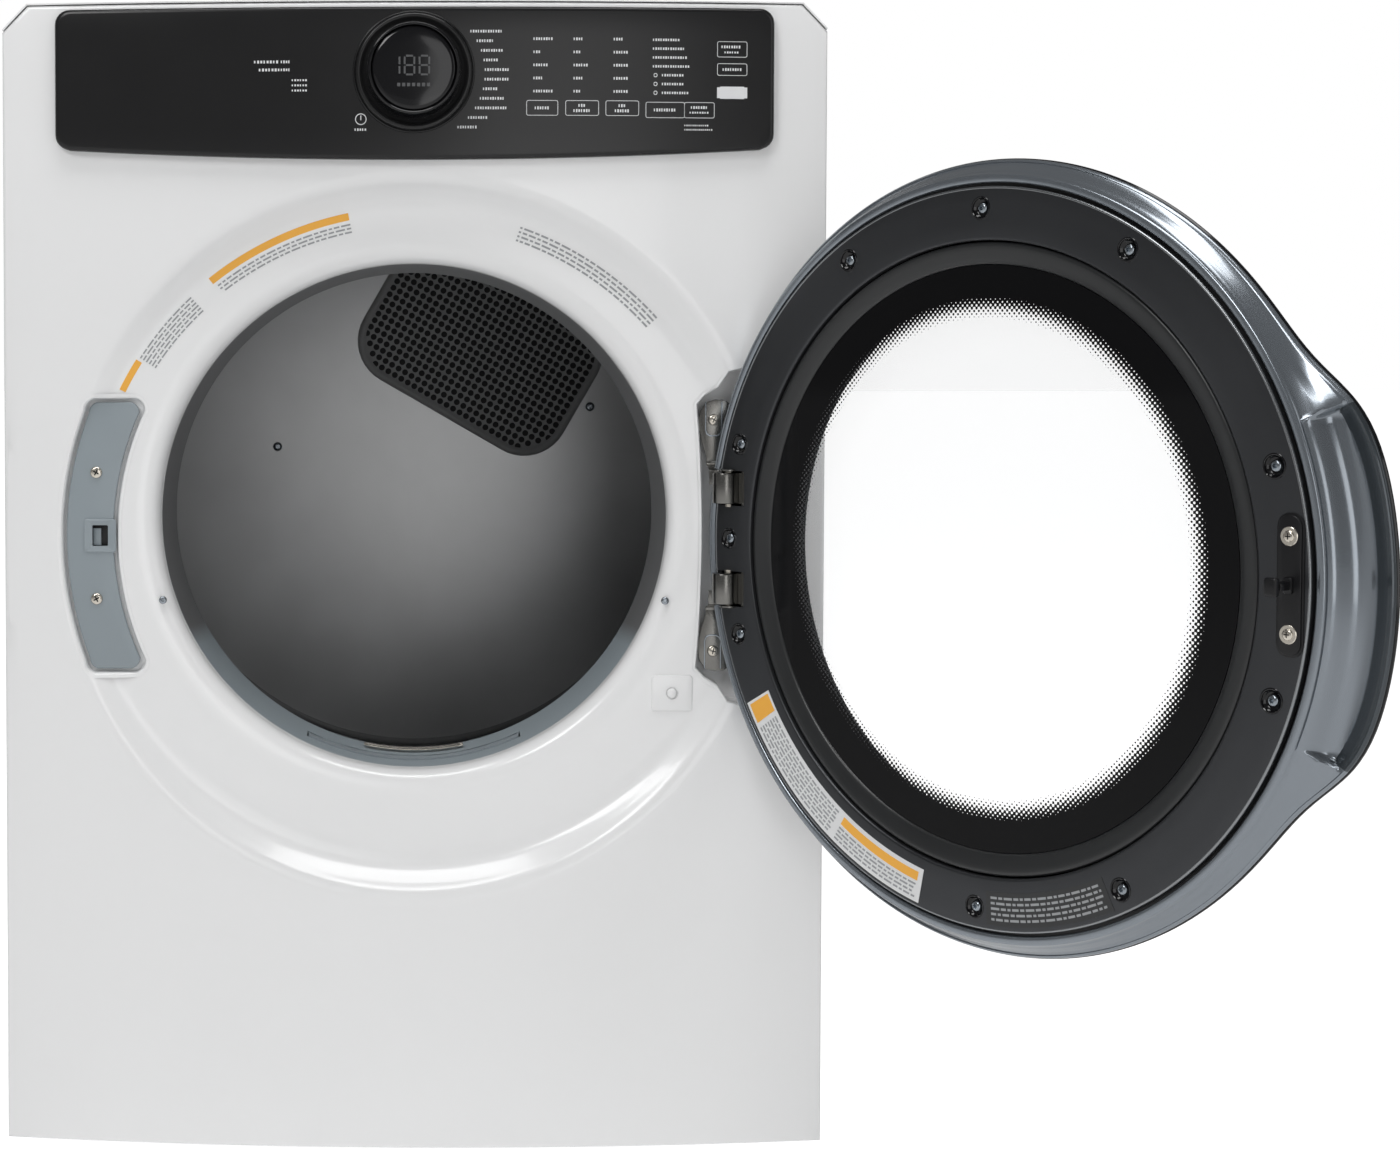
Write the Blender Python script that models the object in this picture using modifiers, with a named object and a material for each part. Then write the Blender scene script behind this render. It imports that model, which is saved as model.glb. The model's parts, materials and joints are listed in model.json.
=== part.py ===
"""Front-loading clothes dryer with its door standing open.

Frame: X to the right, Y to the back, Z up; metres.
Origin: centre of the base pan's underside. The front panel faces -Y and its crown lies at y = FRONT.
"""
import math

import bmesh
import bpy
from mathutils import Vector

# ---------------------------------------------------------------- cabinet
WIDTH = 0.686            # across the side panels
HEIGHT = 0.953           # base pan underside to the top
DEPTH = 0.735            # crown of the front panel to the rear panel
BOW = 0.0256             # how far the front panel curves back at its side edges
SHEET = 0.0012           # sheet steel
GAP = 0.0004             # between pieces that touch
TOP_CHAMFER = 0.021      # chamfer along the top panel's sides
FRONT_RETURN = 0.020     # how far the front panel's edges turn back
SIDE_FLANGE = 0.018      # inward flanges of the side panels
PAN_HEIGHT = 0.037       # turned-up edge of the base pan
PAN_EMBOSS = 0.0003      # the pan's middle stands lower than the strip that holds the feet
PAN_MARGIN = 0.090
PAN_SLOPE = 0.004
FOOT_HEIGHT = 0.012
FOOT_RADIUS = 0.019
FOOT_INSET = 0.050
STEM_RADIUS = 0.005
STEM_RISE = 0.032

# ---------------------------------------------------------------- front recess and opening
RING_Z = 0.5105          # centre of the door ring
RING_OUTER = 0.3011
RING_INNER = 0.2882
COVE_END = 0.260         # where the cove meets the floor of the recess
FLOOR_DEPTH = 0.024      # recess floor behind the crown
MOUTH_RISE = 0.0148      # centre of the drum opening above the ring's centre
MOUTH_RADIUS = 0.2129
MOUTH_DEPTH = 0.038      # depth of the opening's rolled edge
MOUTH_FLANGE = 0.012
FIELD_RADIUS = 0.322     # last full circle of the panel before its straight edges

# ---------------------------------------------------------------- door
HINGE_X = 0.260
HINGE_DEPTH = 0.002      # hinge axis behind the crown
DOOR_REST = 127.7        # degrees open as modelled
PLATE_RADIUS = 0.276
PLATE_HOLE = 0.236
PLATE_WALL = 0.0025
LIP_INNER = 0.2795
LIP_OUTER = 0.2845
LIP_OFFSET = 0.003       # lip of the shell outward of the plate's face
RIM_RADIUS = 0.2958
RIM_OFFSET = 0.018       # widest edge of the shell outward of the plate's face
HANDLE_REACH = 0.030     # extra radius at the handle
HANDLE_ANGLE = 25.5      # degrees from the latch side where the handle fades out
HANDLE_FADE = 3.2
GRIP_ANGLE = 22.5        # degrees, half span of the finger pocket
GRIP_DEPTH = 0.0240
HANDLE_BULGE = 0.010     # how far the lens stands out over the finger pocket
SHELL_WALL = 0.0022
SHELL_HOLE = 0.205       # opening behind the lens
LENS_WALL = 0.002
LENS_CROWN = 0.040       # outermost point of the lens outward of the plate's face
BEZEL_RADIUS = 0.2345
BEZEL_HOLE = 0.2185
GLASS_RADIUS = 0.2275
GLASS_OFFSET = 0.0067
GLASS_WALL = 0.004
LATCH_RADIUS = 0.2625
HOOK_REACH = 0.027
BARREL_RADIUS = 0.0080
BARREL_CENTRE = 0.0415   # hinge barrels above and below the ring's centre
BARREL_LENGTH = 0.025
PIN_RADIUS = 0.0030
PIN_CLEARANCE = 0.0003
EAR_WALL = 0.0020
LEAF_WALL = 0.0020
POCKET_DEPTH = 0.0480    # hinge pocket behind the crown
POCKET_HALF = 0.116
POCKET_SWING = 0.148     # its half height where the rim swings
STRIKE_POCKET = 0.0300   # floor of the strike pocket behind the crown
STRIKE_FACE = 0.0235
STRIKE_INNER = 0.2515
STRIKE_OUTER = 0.2905
STRIKE_HALF = 0.112
STRIKE_MARGIN = 0.003
CATCH_WIDTH = 0.0135
CATCH_HEIGHT = 0.018

# ---------------------------------------------------------------- console
CONSOLE_HALF = 0.2970
CONSOLE_DROP = 0.0065    # below the cabinet's top
CONSOLE_HEIGHT = 0.1247  # at the middle
CONSOLE_RISE = 0.0097    # the lower edge rises by this at its ends
CONSOLE_PROUD = 0.008
CONSOLE_WALL = 0.0025
DIAL_DROP = 0.0600       # dial axis below the cabinet's top
DIAL_BASE_RADIUS = 0.049
DIAL_RADIUS = 0.0400
DIAL_TIP_RADIUS = 0.0372
DIAL_BORE = 0.0345
DIAL_LENGTH = 0.031
DIAL_CORE_RADIUS = 0.0340

# ---------------------------------------------------------------- drum and bulkheads
DRUM_Z = 0.5225
DRUM_RADIUS = 0.3225     # inside
DRUM_WALL = 0.0010
NECK_STEP = 0.0255       # from the drum's wall in to its front neck
REAR_NECK_STEP = 0.0155
NECK_RADIUS = DRUM_RADIUS - NECK_STEP
NECK_LENGTH = 0.024
REAR_NECK_RADIUS = DRUM_RADIUS - REAR_NECK_STEP
DRUM_FRONT_DEPTH = 0.126
DRUM_REAR_DEPTH = 0.676
FRONT_BULKHEAD_DEPTH = 0.112
BULKHEAD_HALF = 0.3300   # half height of the bulkheads
REAR_BULKHEAD_DEPTH = 0.688
COLLAR_RADIUS = 0.2177   # front edge of the collar behind the opening's rolled edge
COLLAR_TAPER = 0.009
BEAD_WIDTH = 0.007
BEAD_LENGTH = 0.027
SEAL_LENGTH = 0.012
SEAL_WALL = 0.0064
BAFFLE_HEIGHT = 0.058
BAFFLE_HALF = 0.044
BAFFLE_LENGTH = 0.420
ROLLER_RADIUS = 0.036
ROLLER_WIDTH = 0.022
ROLLER_ANGLE = 38.0
AXLE_RADIUS = 0.006

# ---------------------------------------------------------------- drive, air path, power
MOTOR_X = 0.155
MOTOR_Z = 0.090
MOTOR_RADIUS = 0.062
MOTOR_LENGTH = 0.150
MOTOR_Y = 0.010
SHAFT_RADIUS = 0.0060
PULLEY_RADIUS = 0.0120
BELT_Y = 0.140
BELT_WIDTH = 0.010
BELT_WALL = 0.0030
BELT_GAP = 0.0016
IDLER_RADIUS = 0.030
IDLER_X = 0.040
IDLER_Z = 0.112
IDLER_PIVOT_X = 0.104
IDLER_PIVOT_Z = 0.030
PIVOT_RADIUS = 0.0040
WHEEL_RADIUS = 0.072
WHEEL_WIDTH = 0.050
BLOWER_Y = -0.205
VOLUTE_RADIUS = 0.086
DUCT_RADIUS = 0.050
DUCT_WALL = 0.0010
DUCT_X = -0.075
DUCT_Z = 0.090
DUCT_OUTLET = 0.045      # how far the exhaust stands out of the rear panel
GRILLE_X = 0.071
GRILLE_Z = 0.669
GRILLE_TILT = -27.0
HEATER_DEPTH = 0.036
COIL_RADIUS = 0.0025
COIL_RUNS = 10
SCREEN_WIDTH = 0.180
SCREEN_WALL = 0.012
SCREEN_HEIGHT = 0.150
SENSOR_WIDTH = 0.005
SENSOR_SPAN = 24.0       # degrees of the mouth's collar
LIGHT_Z = 0.770

SEGMENTS = 40            # around the door ring and the front panel
DRUM_SEGMENTS = 36       # around the drum and the bulkheads
DIAL_SEGMENTS = 24
SMALL = 16               # around small round pieces
FRONT = -DEPTH / 2
REAR = DEPTH / 2
MOUTH_Z = RING_Z + MOUTH_RISE
CONSOLE_TOP = HEIGHT - CONSOLE_DROP
CONSOLE_BOTTOM = CONSOLE_TOP - CONSOLE_HEIGHT
DIAL_Z = HEIGHT - DIAL_DROP
HINGE = Vector((HINGE_X, FRONT + HINGE_DEPTH, RING_Z))

for old in list(bpy.data.objects):
    bpy.data.objects.remove(old)
PARTS = bpy.data.collections.new("clothes_dryer")
CUTTERS = bpy.data.collections.new("cutters")
for group in (PARTS, CUTTERS):
    bpy.context.scene.collection.children.link(group)


# ---------------------------------------------------------------- materials
def material(name, colour, roughness, metallic=0.0, alpha=1.0):
    """A Principled material, made once for each name."""
    found = bpy.data.materials.get(name)
    if found:
        return found
    made = bpy.data.materials.new(name)
    made.use_nodes = True
    shader = made.node_tree.nodes["Principled BSDF"]
    shader.inputs["Base Color"].default_value = (*colour, 1.0)
    shader.inputs["Roughness"].default_value = roughness
    shader.inputs["Metallic"].default_value = metallic
    shader.inputs["Alpha"].default_value = alpha
    made.diffuse_color = (*colour, alpha)
    return made


WHITE = ("white_enamel", (0.90, 0.90, 0.90), 0.18)
GRAPHITE = ("graphite_plastic", (0.055, 0.055, 0.058), 0.30)
CHARCOAL = ("charcoal_plastic", (0.075, 0.078, 0.082), 0.35)
SILVER = ("silver_paint", (0.30, 0.34, 0.37), 0.22, 0.7)
SLATE = ("slate_plastic", (0.27, 0.31, 0.33), 0.45)
STEEL = ("plated_steel", (0.62, 0.61, 0.58), 0.30, 1.0)
GALVANISED = ("galvanised_steel", (0.50, 0.51, 0.52), 0.42, 0.9)
DARK_STEEL = ("grey_coated_steel", (0.16, 0.16, 0.165), 0.40, 0.5)
CLEAR = ("clear_glass", (0.80, 0.83, 0.84), 0.03, 0.0, 0.30)
BLACK = ("black_rubber", (0.02, 0.02, 0.02), 0.65)
FELT = ("grey_felt", (0.30, 0.30, 0.31), 0.95)
COPPER = ("motor_steel", (0.20, 0.21, 0.22), 0.45, 0.8)
BOARD = ("circuit_board", (0.03, 0.17, 0.08), 0.50)
MESH = ("screen_frame", (0.36, 0.40, 0.42), 0.45)


# ---------------------------------------------------------------- modelling helpers
def finish(name, mesh, look, location=(0, 0, 0), parent=None, smooth=False):
    """Put a mesh into the model as a named sub-part."""
    piece = bpy.data.objects.new(name, mesh)
    PARTS.objects.link(piece)
    piece.location = location
    piece.parent = parent
    mesh.materials.clear()
    mesh.materials.append(material(*look))
    if smooth:
        mesh.shade_smooth()
        mesh.set_sharp_from_angle(angle=math.radians(35))
    return piece


def as_cutter(piece):
    """Move a shape to the cutters, which are guides and not parts of the dryer."""
    PARTS.objects.unlink(piece)
    CUTTERS.objects.link(piece)
    piece.hide_render = True
    piece.display_type = 'WIRE'
    return piece


def mesh_from(bm, name):
    mesh = bpy.data.meshes.new(name)
    bm.to_mesh(mesh)
    bm.free()
    return mesh


def box(name, look, low, high, parent=None, bevel=0.0):
    """A block between two corners; its origin is its centre."""
    low, high = Vector(low), Vector(high)
    bm = bmesh.new()
    bmesh.ops.create_cube(bm, size=1.0)
    bmesh.ops.scale(bm, vec=high - low, verts=bm.verts)
    piece = finish(name, mesh_from(bm, name), look, (low + high) / 2, parent)
    if bevel:
        add_bevel(piece, bevel)
    return piece


def rod(name, look, start, end, radius, parent=None, segments=SMALL, tip_radius=None):
    """A cylinder or cone frustum from start to end; its origin is at start."""
    start, end = Vector(start), Vector(end)
    run = end - start
    bm = bmesh.new()
    bmesh.ops.create_cone(bm, cap_ends=True, segments=segments, radius1=radius,
                          radius2=radius if tip_radius is None else tip_radius, depth=run.length)
    bmesh.ops.translate(bm, vec=(0, 0, run.length / 2), verts=bm.verts)
    turn = run.to_track_quat('Z', 'Y').to_matrix()
    bmesh.ops.rotate(bm, matrix=turn, verts=bm.verts)
    return finish(name, mesh_from(bm, name), look, start, parent, smooth=True)


def turned(name, look, profile, location, parent=None, segments=SEGMENTS):
    """Turn a closed profile of (radius, y) points about the Y axis with a Screw modifier."""
    pairs = zip(profile, profile[1:] + profile[:1])
    if sum(r0 * y1 - r1 * y0 for (r0, y0), (r1, y1) in pairs) > 0:
        profile = profile[::-1]
    bm = bmesh.new()
    corners = [bm.verts.new((radius, y, 0)) for radius, y in profile]
    for first, second in zip(corners, corners[1:] + corners[:1]):
        bm.edges.new((first, second))
    piece = finish(name, mesh_from(bm, name), look, location, parent)
    screw = piece.modifiers.new("turn", 'SCREW')
    screw.axis = 'Y'
    screw.angle = math.radians(360)
    screw.steps = screw.render_steps = segments
    screw.use_merge_vertices = True
    screw.merge_threshold = 0.00005
    screw.use_smooth_shade = True
    return piece


def prism(name, look, outline, near, far, parent=None, location=(0, 0, 0)):
    """A flat outline of (x, z) points, given anticlockwise from the front, run from y=near to y=far."""
    bm = bmesh.new()
    face = bm.faces.new([bm.verts.new((x, near, z)) for x, z in outline])
    grown = bmesh.ops.extrude_face_region(bm, geom=[face])
    moved = [v for v in grown["geom"] if isinstance(v, bmesh.types.BMVert)]
    bmesh.ops.translate(bm, vec=(0, far - near, 0), verts=moved)
    bmesh.ops.recalc_face_normals(bm, faces=bm.faces)
    return finish(name, mesh_from(bm, name), look, location, parent)


def skin(rings, name, caps=(), loop=False):
    """Bridge rings of equal length; caps lists the rings, 0 or -1, to close with a fan, and loop
    joins the last ring to the first."""
    bm = bmesh.new()
    rows = [[bm.verts.new(point) for point in ring] for ring in rings]
    count = len(rows[0])
    for inner, outer in zip(rows, rows[1:] + rows[:1] if loop else rows[1:]):
        for i in range(count):
            j = (i + 1) % count
            bm.faces.new((inner[i], inner[j], outer[j], outer[i]))
    for end in caps:
        row = rows[end] if end else rows[end][::-1]
        centre = bm.verts.new(sum((v.co for v in row), Vector()) / count)
        for i in range(count):
            bm.faces.new((row[i], row[(i + 1) % count], centre))
    return mesh_from(bm, name)


def add_solidify(piece, thickness, offset):
    wall = piece.modifiers.new("wall", 'SOLIDIFY')
    wall.thickness = thickness
    wall.offset = offset
    wall.use_even_offset = True
    wall.use_quality_normals = True


def add_bevel(piece, width, segments=2, angle=35):
    edge = piece.modifiers.new("edge", 'BEVEL')
    edge.width = width
    edge.segments = segments
    edge.limit_method = 'ANGLE'
    edge.angle_limit = math.radians(angle)
    edge.use_clamp_overlap = True


def boolean(piece, tool, operation='DIFFERENCE'):
    step = piece.modifiers.new(operation.lower(), 'BOOLEAN')
    step.object = as_cutter(tool)
    step.operation = operation
    step.solver = 'EXACT'


def rounded(points, radius, steps=3):
    """Round each corner of an outline, taking no more than a third of its shorter side."""
    outline = []
    count = len(points)
    for i, corner in enumerate(points):
        corner = Vector(corner)
        back = Vector(points[i - 1]) - corner
        ahead = Vector(points[(i + 1) % count]) - corner
        half = back.angle(ahead) / 2
        reach = min(radius / math.tan(half), back.length / 3, ahead.length / 3)
        if math.degrees(half) > 80:
            outline.append(tuple(corner))
            continue
        size = reach * math.tan(half)
        middle = corner + (back.normalized() + ahead.normalized()).normalized() * (size / math.sin(half))
        start = corner + back.normalized() * reach - middle
        end = corner + ahead.normalized() * reach - middle
        for k in range(steps + 1):
            outline.append(tuple(middle + start.normalized().slerp(end.normalized(), k / steps) * size))
    return outline


def circle(radius, y, centre_z, centre_x=0.0, segments=SEGMENTS):
    turn = [2 * math.pi * i / segments for i in range(segments)]
    return [Vector((centre_x + radius * math.cos(t), y, centre_z + radius * math.sin(t))) for t in turn]


def bow_at(x):
    """How far the front surface lies behind the crown."""
    return BOW * (x / (WIDTH / 2)) ** 2


def sector(inner, outer, half, side, corner):
    """Outline of a piece of the ring, between two radii and up to half above and below the centre."""
    steps = 8
    outer_z = [half * (2 * i / steps - 1) for i in range(steps + 1)]
    arc_out = [(side * math.sqrt(outer ** 2 - z ** 2), z) for z in outer_z]
    arc_in = [(side * math.sqrt(inner ** 2 - z ** 2), z) for z in reversed(outer_z)]
    outline = [(x, z + RING_Z) for x, z in arc_out + arc_in]
    return rounded(outline, corner)


# ---------------------------------------------------------------- cabinet
def cabinet_outline(low, high, chamfer):
    """Front view of the cabinet, chamfered at the top corners."""
    half = WIDTH / 2
    return [(half, low), (half, high - chamfer), (half - chamfer, high),
            (chamfer - half, high), (-half, high - chamfer), (-half, low)]


def along_outline(outline, centre_z, segments=SEGMENTS):
    """Where rays from the ring's centre meet an outline; the nearest ray goes to each corner."""
    angles = [2 * math.pi * i / segments for i in range(segments)]
    for x, z in outline:
        wanted = math.atan2(z - centre_z, x) % (2 * math.pi)
        nearest = min(range(segments), key=lambda i: abs(angles[i] - wanted))
        angles[nearest] = wanted
    points = []
    for angle in angles:
        ray = Vector((math.cos(angle), math.sin(angle)))
        hits = []
        for i, start in enumerate(outline):
            a = Vector(start) - Vector((0, centre_z))
            b = Vector(outline[(i + 1) % len(outline)]) - Vector((0, centre_z))
            side = b - a
            bottom = ray.x * side.y - ray.y * side.x
            if abs(bottom) < 1e-12:
                continue
            distance = (a.x * side.y - a.y * side.x) / bottom
            share = (a.x * ray.y - a.y * ray.x) / bottom
            if distance > 0 and -1e-6 <= share <= 1 + 1e-6:
                hits.append(distance)
        points.append((ray.x * min(hits), ray.y * min(hits) + centre_z))
    return points


def front_panel_rings():
    """Rings of the front panel from its turned-back outer edge in to the drum opening."""
    drop = SHEET + GAP
    chamfer = TOP_CHAMFER + drop * (math.sqrt(2) - 1)
    edge = along_outline(cabinet_outline(0, HEIGHT - drop, chamfer), RING_Z)
    rings = [[Vector((x, FRONT + bow_at(x) + FRONT_RETURN, z)) for x, z in edge]]
    rings.append([Vector((x, FRONT + bow_at(x), z)) for x, z in edge])
    field = circle(FIELD_RADIUS, 0, RING_Z)
    for share in (0.5, 0.0):
        ring = []
        for point, (x, z) in zip(field, edge):
            px = point.x + (x - point.x) * share
            ring.append(Vector((px, FRONT + bow_at(px), point.z + (z - point.z) * share)))
        rings.append(ring)
    shoulder = 0.5 * (RING_OUTER + RING_INNER)
    cove = RING_INNER - 0.35 * (RING_INNER - COVE_END)
    for radius, sink in ((RING_OUTER, 0.0), (shoulder, 0.14), (RING_INNER, 0.46), (cove, 0.86), (COVE_END, 1.0)):
        ring = circle(radius, 0, RING_Z)
        for point in ring:
            bow = bow_at(point.x)
            point.y = FRONT + bow + (FLOOR_DEPTH - bow) * sink
        rings.append(ring)
    rings.append(circle(MOUTH_RADIUS + 0.012, FRONT + 0.5 * (FLOOR_DEPTH + MOUTH_DEPTH), MOUTH_Z))
    rings.append(circle(MOUTH_RADIUS, FRONT + MOUTH_DEPTH, MOUTH_Z))
    rings.append(circle(MOUTH_RADIUS, FRONT + MOUTH_DEPTH + MOUTH_FLANGE, MOUTH_Z))
    return rings


def hinge_pocket_outline(margin):
    """The pocket is tallest behind the door's rim, which swings through it."""
    steps = 8
    swing = [(POCKET_SWING + margin) * (2 * i / steps - 1) for i in range(steps + 1)]
    right = [(math.sqrt((RING_OUTER + 0.010 + margin) ** 2 - z ** 2), z) for z in swing]
    notch = HINGE_X - 0.004 - margin
    heights = [(POCKET_HALF + margin) * (2 * i / steps - 1) for i in range(steps + 1)]
    left = [(HINGE_X - 0.019 - margin - 0.006 * (z / POCKET_HALF) ** 2, z) for z in reversed(heights)]
    outline = right + [(notch, POCKET_HALF + margin)] + left + [(notch, -POCKET_HALF - margin)]
    return rounded([(x, z + RING_Z) for x, z in outline], 0.008)


def strike_pocket_outline(margin):
    grow = STRIKE_MARGIN + margin
    return sector(STRIKE_INNER - grow, STRIKE_OUTER + grow, STRIKE_HALF + grow, -1, 0.010)


def make_front_panel():
    rings = front_panel_rings()
    panel = finish("front_panel", skin(rings, "front_panel"), WHITE)
    add_solidify(panel, SHEET, -1)
    pockets = (("hinge_pocket", hinge_pocket_outline, POCKET_DEPTH),
               ("strike_pocket", strike_pocket_outline, STRIKE_POCKET))
    for name, outline, depth in pockets:
        back = FRONT + depth + 0.020
        body = rings[3:9] + [circle(COVE_END, back, RING_Z), circle(FIELD_RADIUS, back, RING_Z)]
        wall = finish(name + "_wall", skin(body, name + "_wall", loop=True), WHITE)
        wall.location.y = SHEET / 2
        boolean(wall, prism(name + "_wall_bound", WHITE, outline(SHEET), FRONT - 0.02, FRONT + depth + SHEET),
                'INTERSECT')
        boolean(panel, wall, 'UNION')
        boolean(panel, prism(name + "_cavity", WHITE, outline(0), FRONT - 0.05, FRONT + depth))
    boolean(panel, box("console_window", WHITE, (-0.250, FRONT - 0.02, DIAL_Z - 0.043), (0.250, FRONT + 0.035, DIAL_Z + 0.032)))
    boolean(panel, rod("switch_hole", WHITE, (SWITCH_X, FRONT - 0.01, SWITCH_Z),
                       (SWITCH_X, FRONT + 0.06, SWITCH_Z), 0.0050))
    boolean(panel, box("catch_hole", WHITE, (-LATCH_RADIUS - CATCH_WIDTH / 2, FRONT - 0.01, RING_Z - CATCH_HEIGHT / 2),
                       (-LATCH_RADIUS + CATCH_WIDTH / 2, FRONT + 0.06, RING_Z + CATCH_HEIGHT / 2)))
    return panel


def channel(name, look, path, low, high):
    """Sheet bent along a path of (x, y) points and standing from z=low to z=high."""
    bm = bmesh.new()
    foot = [bm.verts.new((x, y, low)) for x, y in path]
    head = [bm.verts.new((x, y, high)) for x, y in path]
    for i in range(len(path) - 1):
        bm.faces.new((foot[i], foot[i + 1], head[i + 1], head[i]))
    piece = finish(name, mesh_from(bm, name), look)
    add_solidify(piece, SHEET, -1)
    return piece


def make_side_panels():
    front = FRONT + BOW + FRONT_RETURN + GAP
    back = REAR - SHEET - GAP
    high = HEIGHT - TOP_CHAMFER - SHEET - GAP
    edge = WIDTH / 2
    for name, side in (("left_side_panel", -1), ("right_side_panel", 1)):
        path = [(side * (edge - SIDE_FLANGE), front), (side * edge, front),
                (side * edge, back), (side * (edge - SIDE_FLANGE), back)]
        if side < 0:
            path.reverse()
        channel(name, WHITE, path, 0.0, high)


def make_top_panel():
    """The top: a tray whose front edge follows the bowed front panel."""
    section = cabinet_outline(0, HEIGHT, TOP_CHAMFER)[1:5]
    right, left = section[1], section[2]
    steps = 12
    flat = [(right[0] + (left[0] - right[0]) * i / steps, right[1]) for i in range(1, steps)]
    path = section[:2] + flat + section[2:]
    bm = bmesh.new()
    near = [bm.verts.new((x, FRONT + bow_at(x), z)) for x, z in path]
    far = [bm.verts.new((x, REAR, z)) for x, z in path]
    for i in range(len(path) - 1):
        bm.faces.new((near[i], far[i], far[i + 1], near[i + 1]))
    top = finish("top_panel", mesh_from(bm, "top_panel"), WHITE)
    add_solidify(top, SHEET, -1)


def make_rear_panel():
    drop = SHEET + GAP
    chamfer = TOP_CHAMFER + drop * (math.sqrt(2) - 1)
    panel = prism("rear_panel", GALVANISED, cabinet_outline(0, HEIGHT - drop, chamfer), REAR - SHEET, REAR)
    boolean(panel, rod("exhaust_hole", WHITE, (DUCT_X, REAR - 0.02, DUCT_Z), (DUCT_X, REAR + 0.02, DUCT_Z),
                       DUCT_RADIUS + 0.002, segments=32))
    for row in range(5):
        z = 0.30 + 0.03 * row
        boolean(panel, box(f"vent_{row}", WHITE, (-0.26, REAR - 0.02, z), (-0.14, REAR + 0.02, z + 0.008)))
    boolean(panel, box("terminal_hole", WHITE, (-0.285, REAR - 0.02, 0.785), (-0.215, REAR + 0.02, 0.845)))


def make_base_pan():
    low_x = WIDTH / 2 - SHEET - GAP - 0.0003
    front = FRONT + BOW + FRONT_RETURN + SHEET + 2 * GAP
    back = REAR - 2 * SHEET - 2 * GAP
    bm = bmesh.new()
    bmesh.ops.create_cube(bm, size=1.0)
    top = max(bm.faces, key=lambda f: f.calc_center_median().z)
    bmesh.ops.delete(bm, geom=[top], context='FACES_ONLY')
    bmesh.ops.scale(bm, vec=(2 * low_x, back - front, PAN_HEIGHT - PAN_EMBOSS), verts=bm.verts)
    bmesh.ops.translate(bm, vec=(0, (front + back) / 2, (PAN_HEIGHT + PAN_EMBOSS) / 2), verts=bm.verts)
    under = min(bm.faces, key=lambda f: f.calc_center_median().z)
    for margin in (PAN_MARGIN, PAN_SLOPE):
        bmesh.ops.inset_region(bm, faces=[under], thickness=margin, use_even_offset=True)
    bmesh.ops.translate(bm, vec=(0, 0, -PAN_EMBOSS), verts=under.verts)
    pan = finish("base_pan", mesh_from(bm, "base_pan"), GALVANISED)
    add_solidify(pan, SHEET, -1)
    for name, x, y in FOOT_PLACES:
        boolean(pan, rod(name + "_hole", WHITE, (x, y, -0.02), (x, y, 0.02), STEM_RADIUS + 0.0005))


FOOT_PLACES = [(f"levelling_foot_{front}_{side}", (WIDTH / 2 - FOOT_INSET) * sx, sy)
               for front, sy in (("front", FRONT + BOW + 0.080), ("rear", REAR - FOOT_INSET))
               for side, sx in (("left", -1), ("right", 1))]


def make_feet():
    for name, x, y in FOOT_PLACES:
        foot = rod(name, BLACK, (x, y, -FOOT_HEIGHT), (x, y, -GAP), FOOT_RADIUS)
        stem = rod(name + "_stem", BLACK, (x, y, -FOOT_HEIGHT / 2), (x, y, STEM_RISE), STEM_RADIUS)
        boolean(foot, stem, 'UNION')


# ---------------------------------------------------------------- console
def bent_plate(name, look, outline, rise, wall, skirt):
    """A shell over the bowed front: its face stands rise in front of the panel, its skirt runs back to it."""
    bm = bmesh.new()
    bm.faces.new([bm.verts.new((x, 0, z)) for x, z in outline])
    half = max(x for x, z in outline)
    strips = 14
    for i in range(1, strips):
        place = half * (2 * i / strips - 1)
        bmesh.ops.bisect_plane(bm, geom=bm.verts[:] + bm.edges[:] + bm.faces[:],
                               plane_co=(place, 0, 0), plane_no=(1, 0, 0))
    border = [e for e in bm.edges if e.is_boundary]
    grown = bmesh.ops.extrude_edge_only(bm, edges=border)
    skirt_verts = {v for v in grown["geom"] if isinstance(v, bmesh.types.BMVert)}
    for vert in bm.verts:
        vert.co.y = FRONT + bow_at(vert.co.x) - rise + (skirt if vert in skirt_verts else 0)
    bmesh.ops.recalc_face_normals(bm, faces=bm.faces)
    face = max(bm.faces, key=lambda f: f.calc_area())
    if face.normal.y > 0:
        bmesh.ops.reverse_faces(bm, faces=bm.faces)
    piece = finish(name, mesh_from(bm, name), look)
    add_solidify(piece, wall, -1)
    piece.modifiers["wall"].use_even_offset = False
    return piece


def console_outline():
    steps = 12
    xs = [CONSOLE_HALF * (2 * i / steps - 1) for i in range(steps + 1)]
    lower = [(x, CONSOLE_BOTTOM + CONSOLE_RISE * (x / CONSOLE_HALF) ** 2) for x in xs]
    return rounded(lower + [(CONSOLE_HALF, CONSOLE_TOP), (-CONSOLE_HALF, CONSOLE_TOP)], 0.012, 4)


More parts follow.
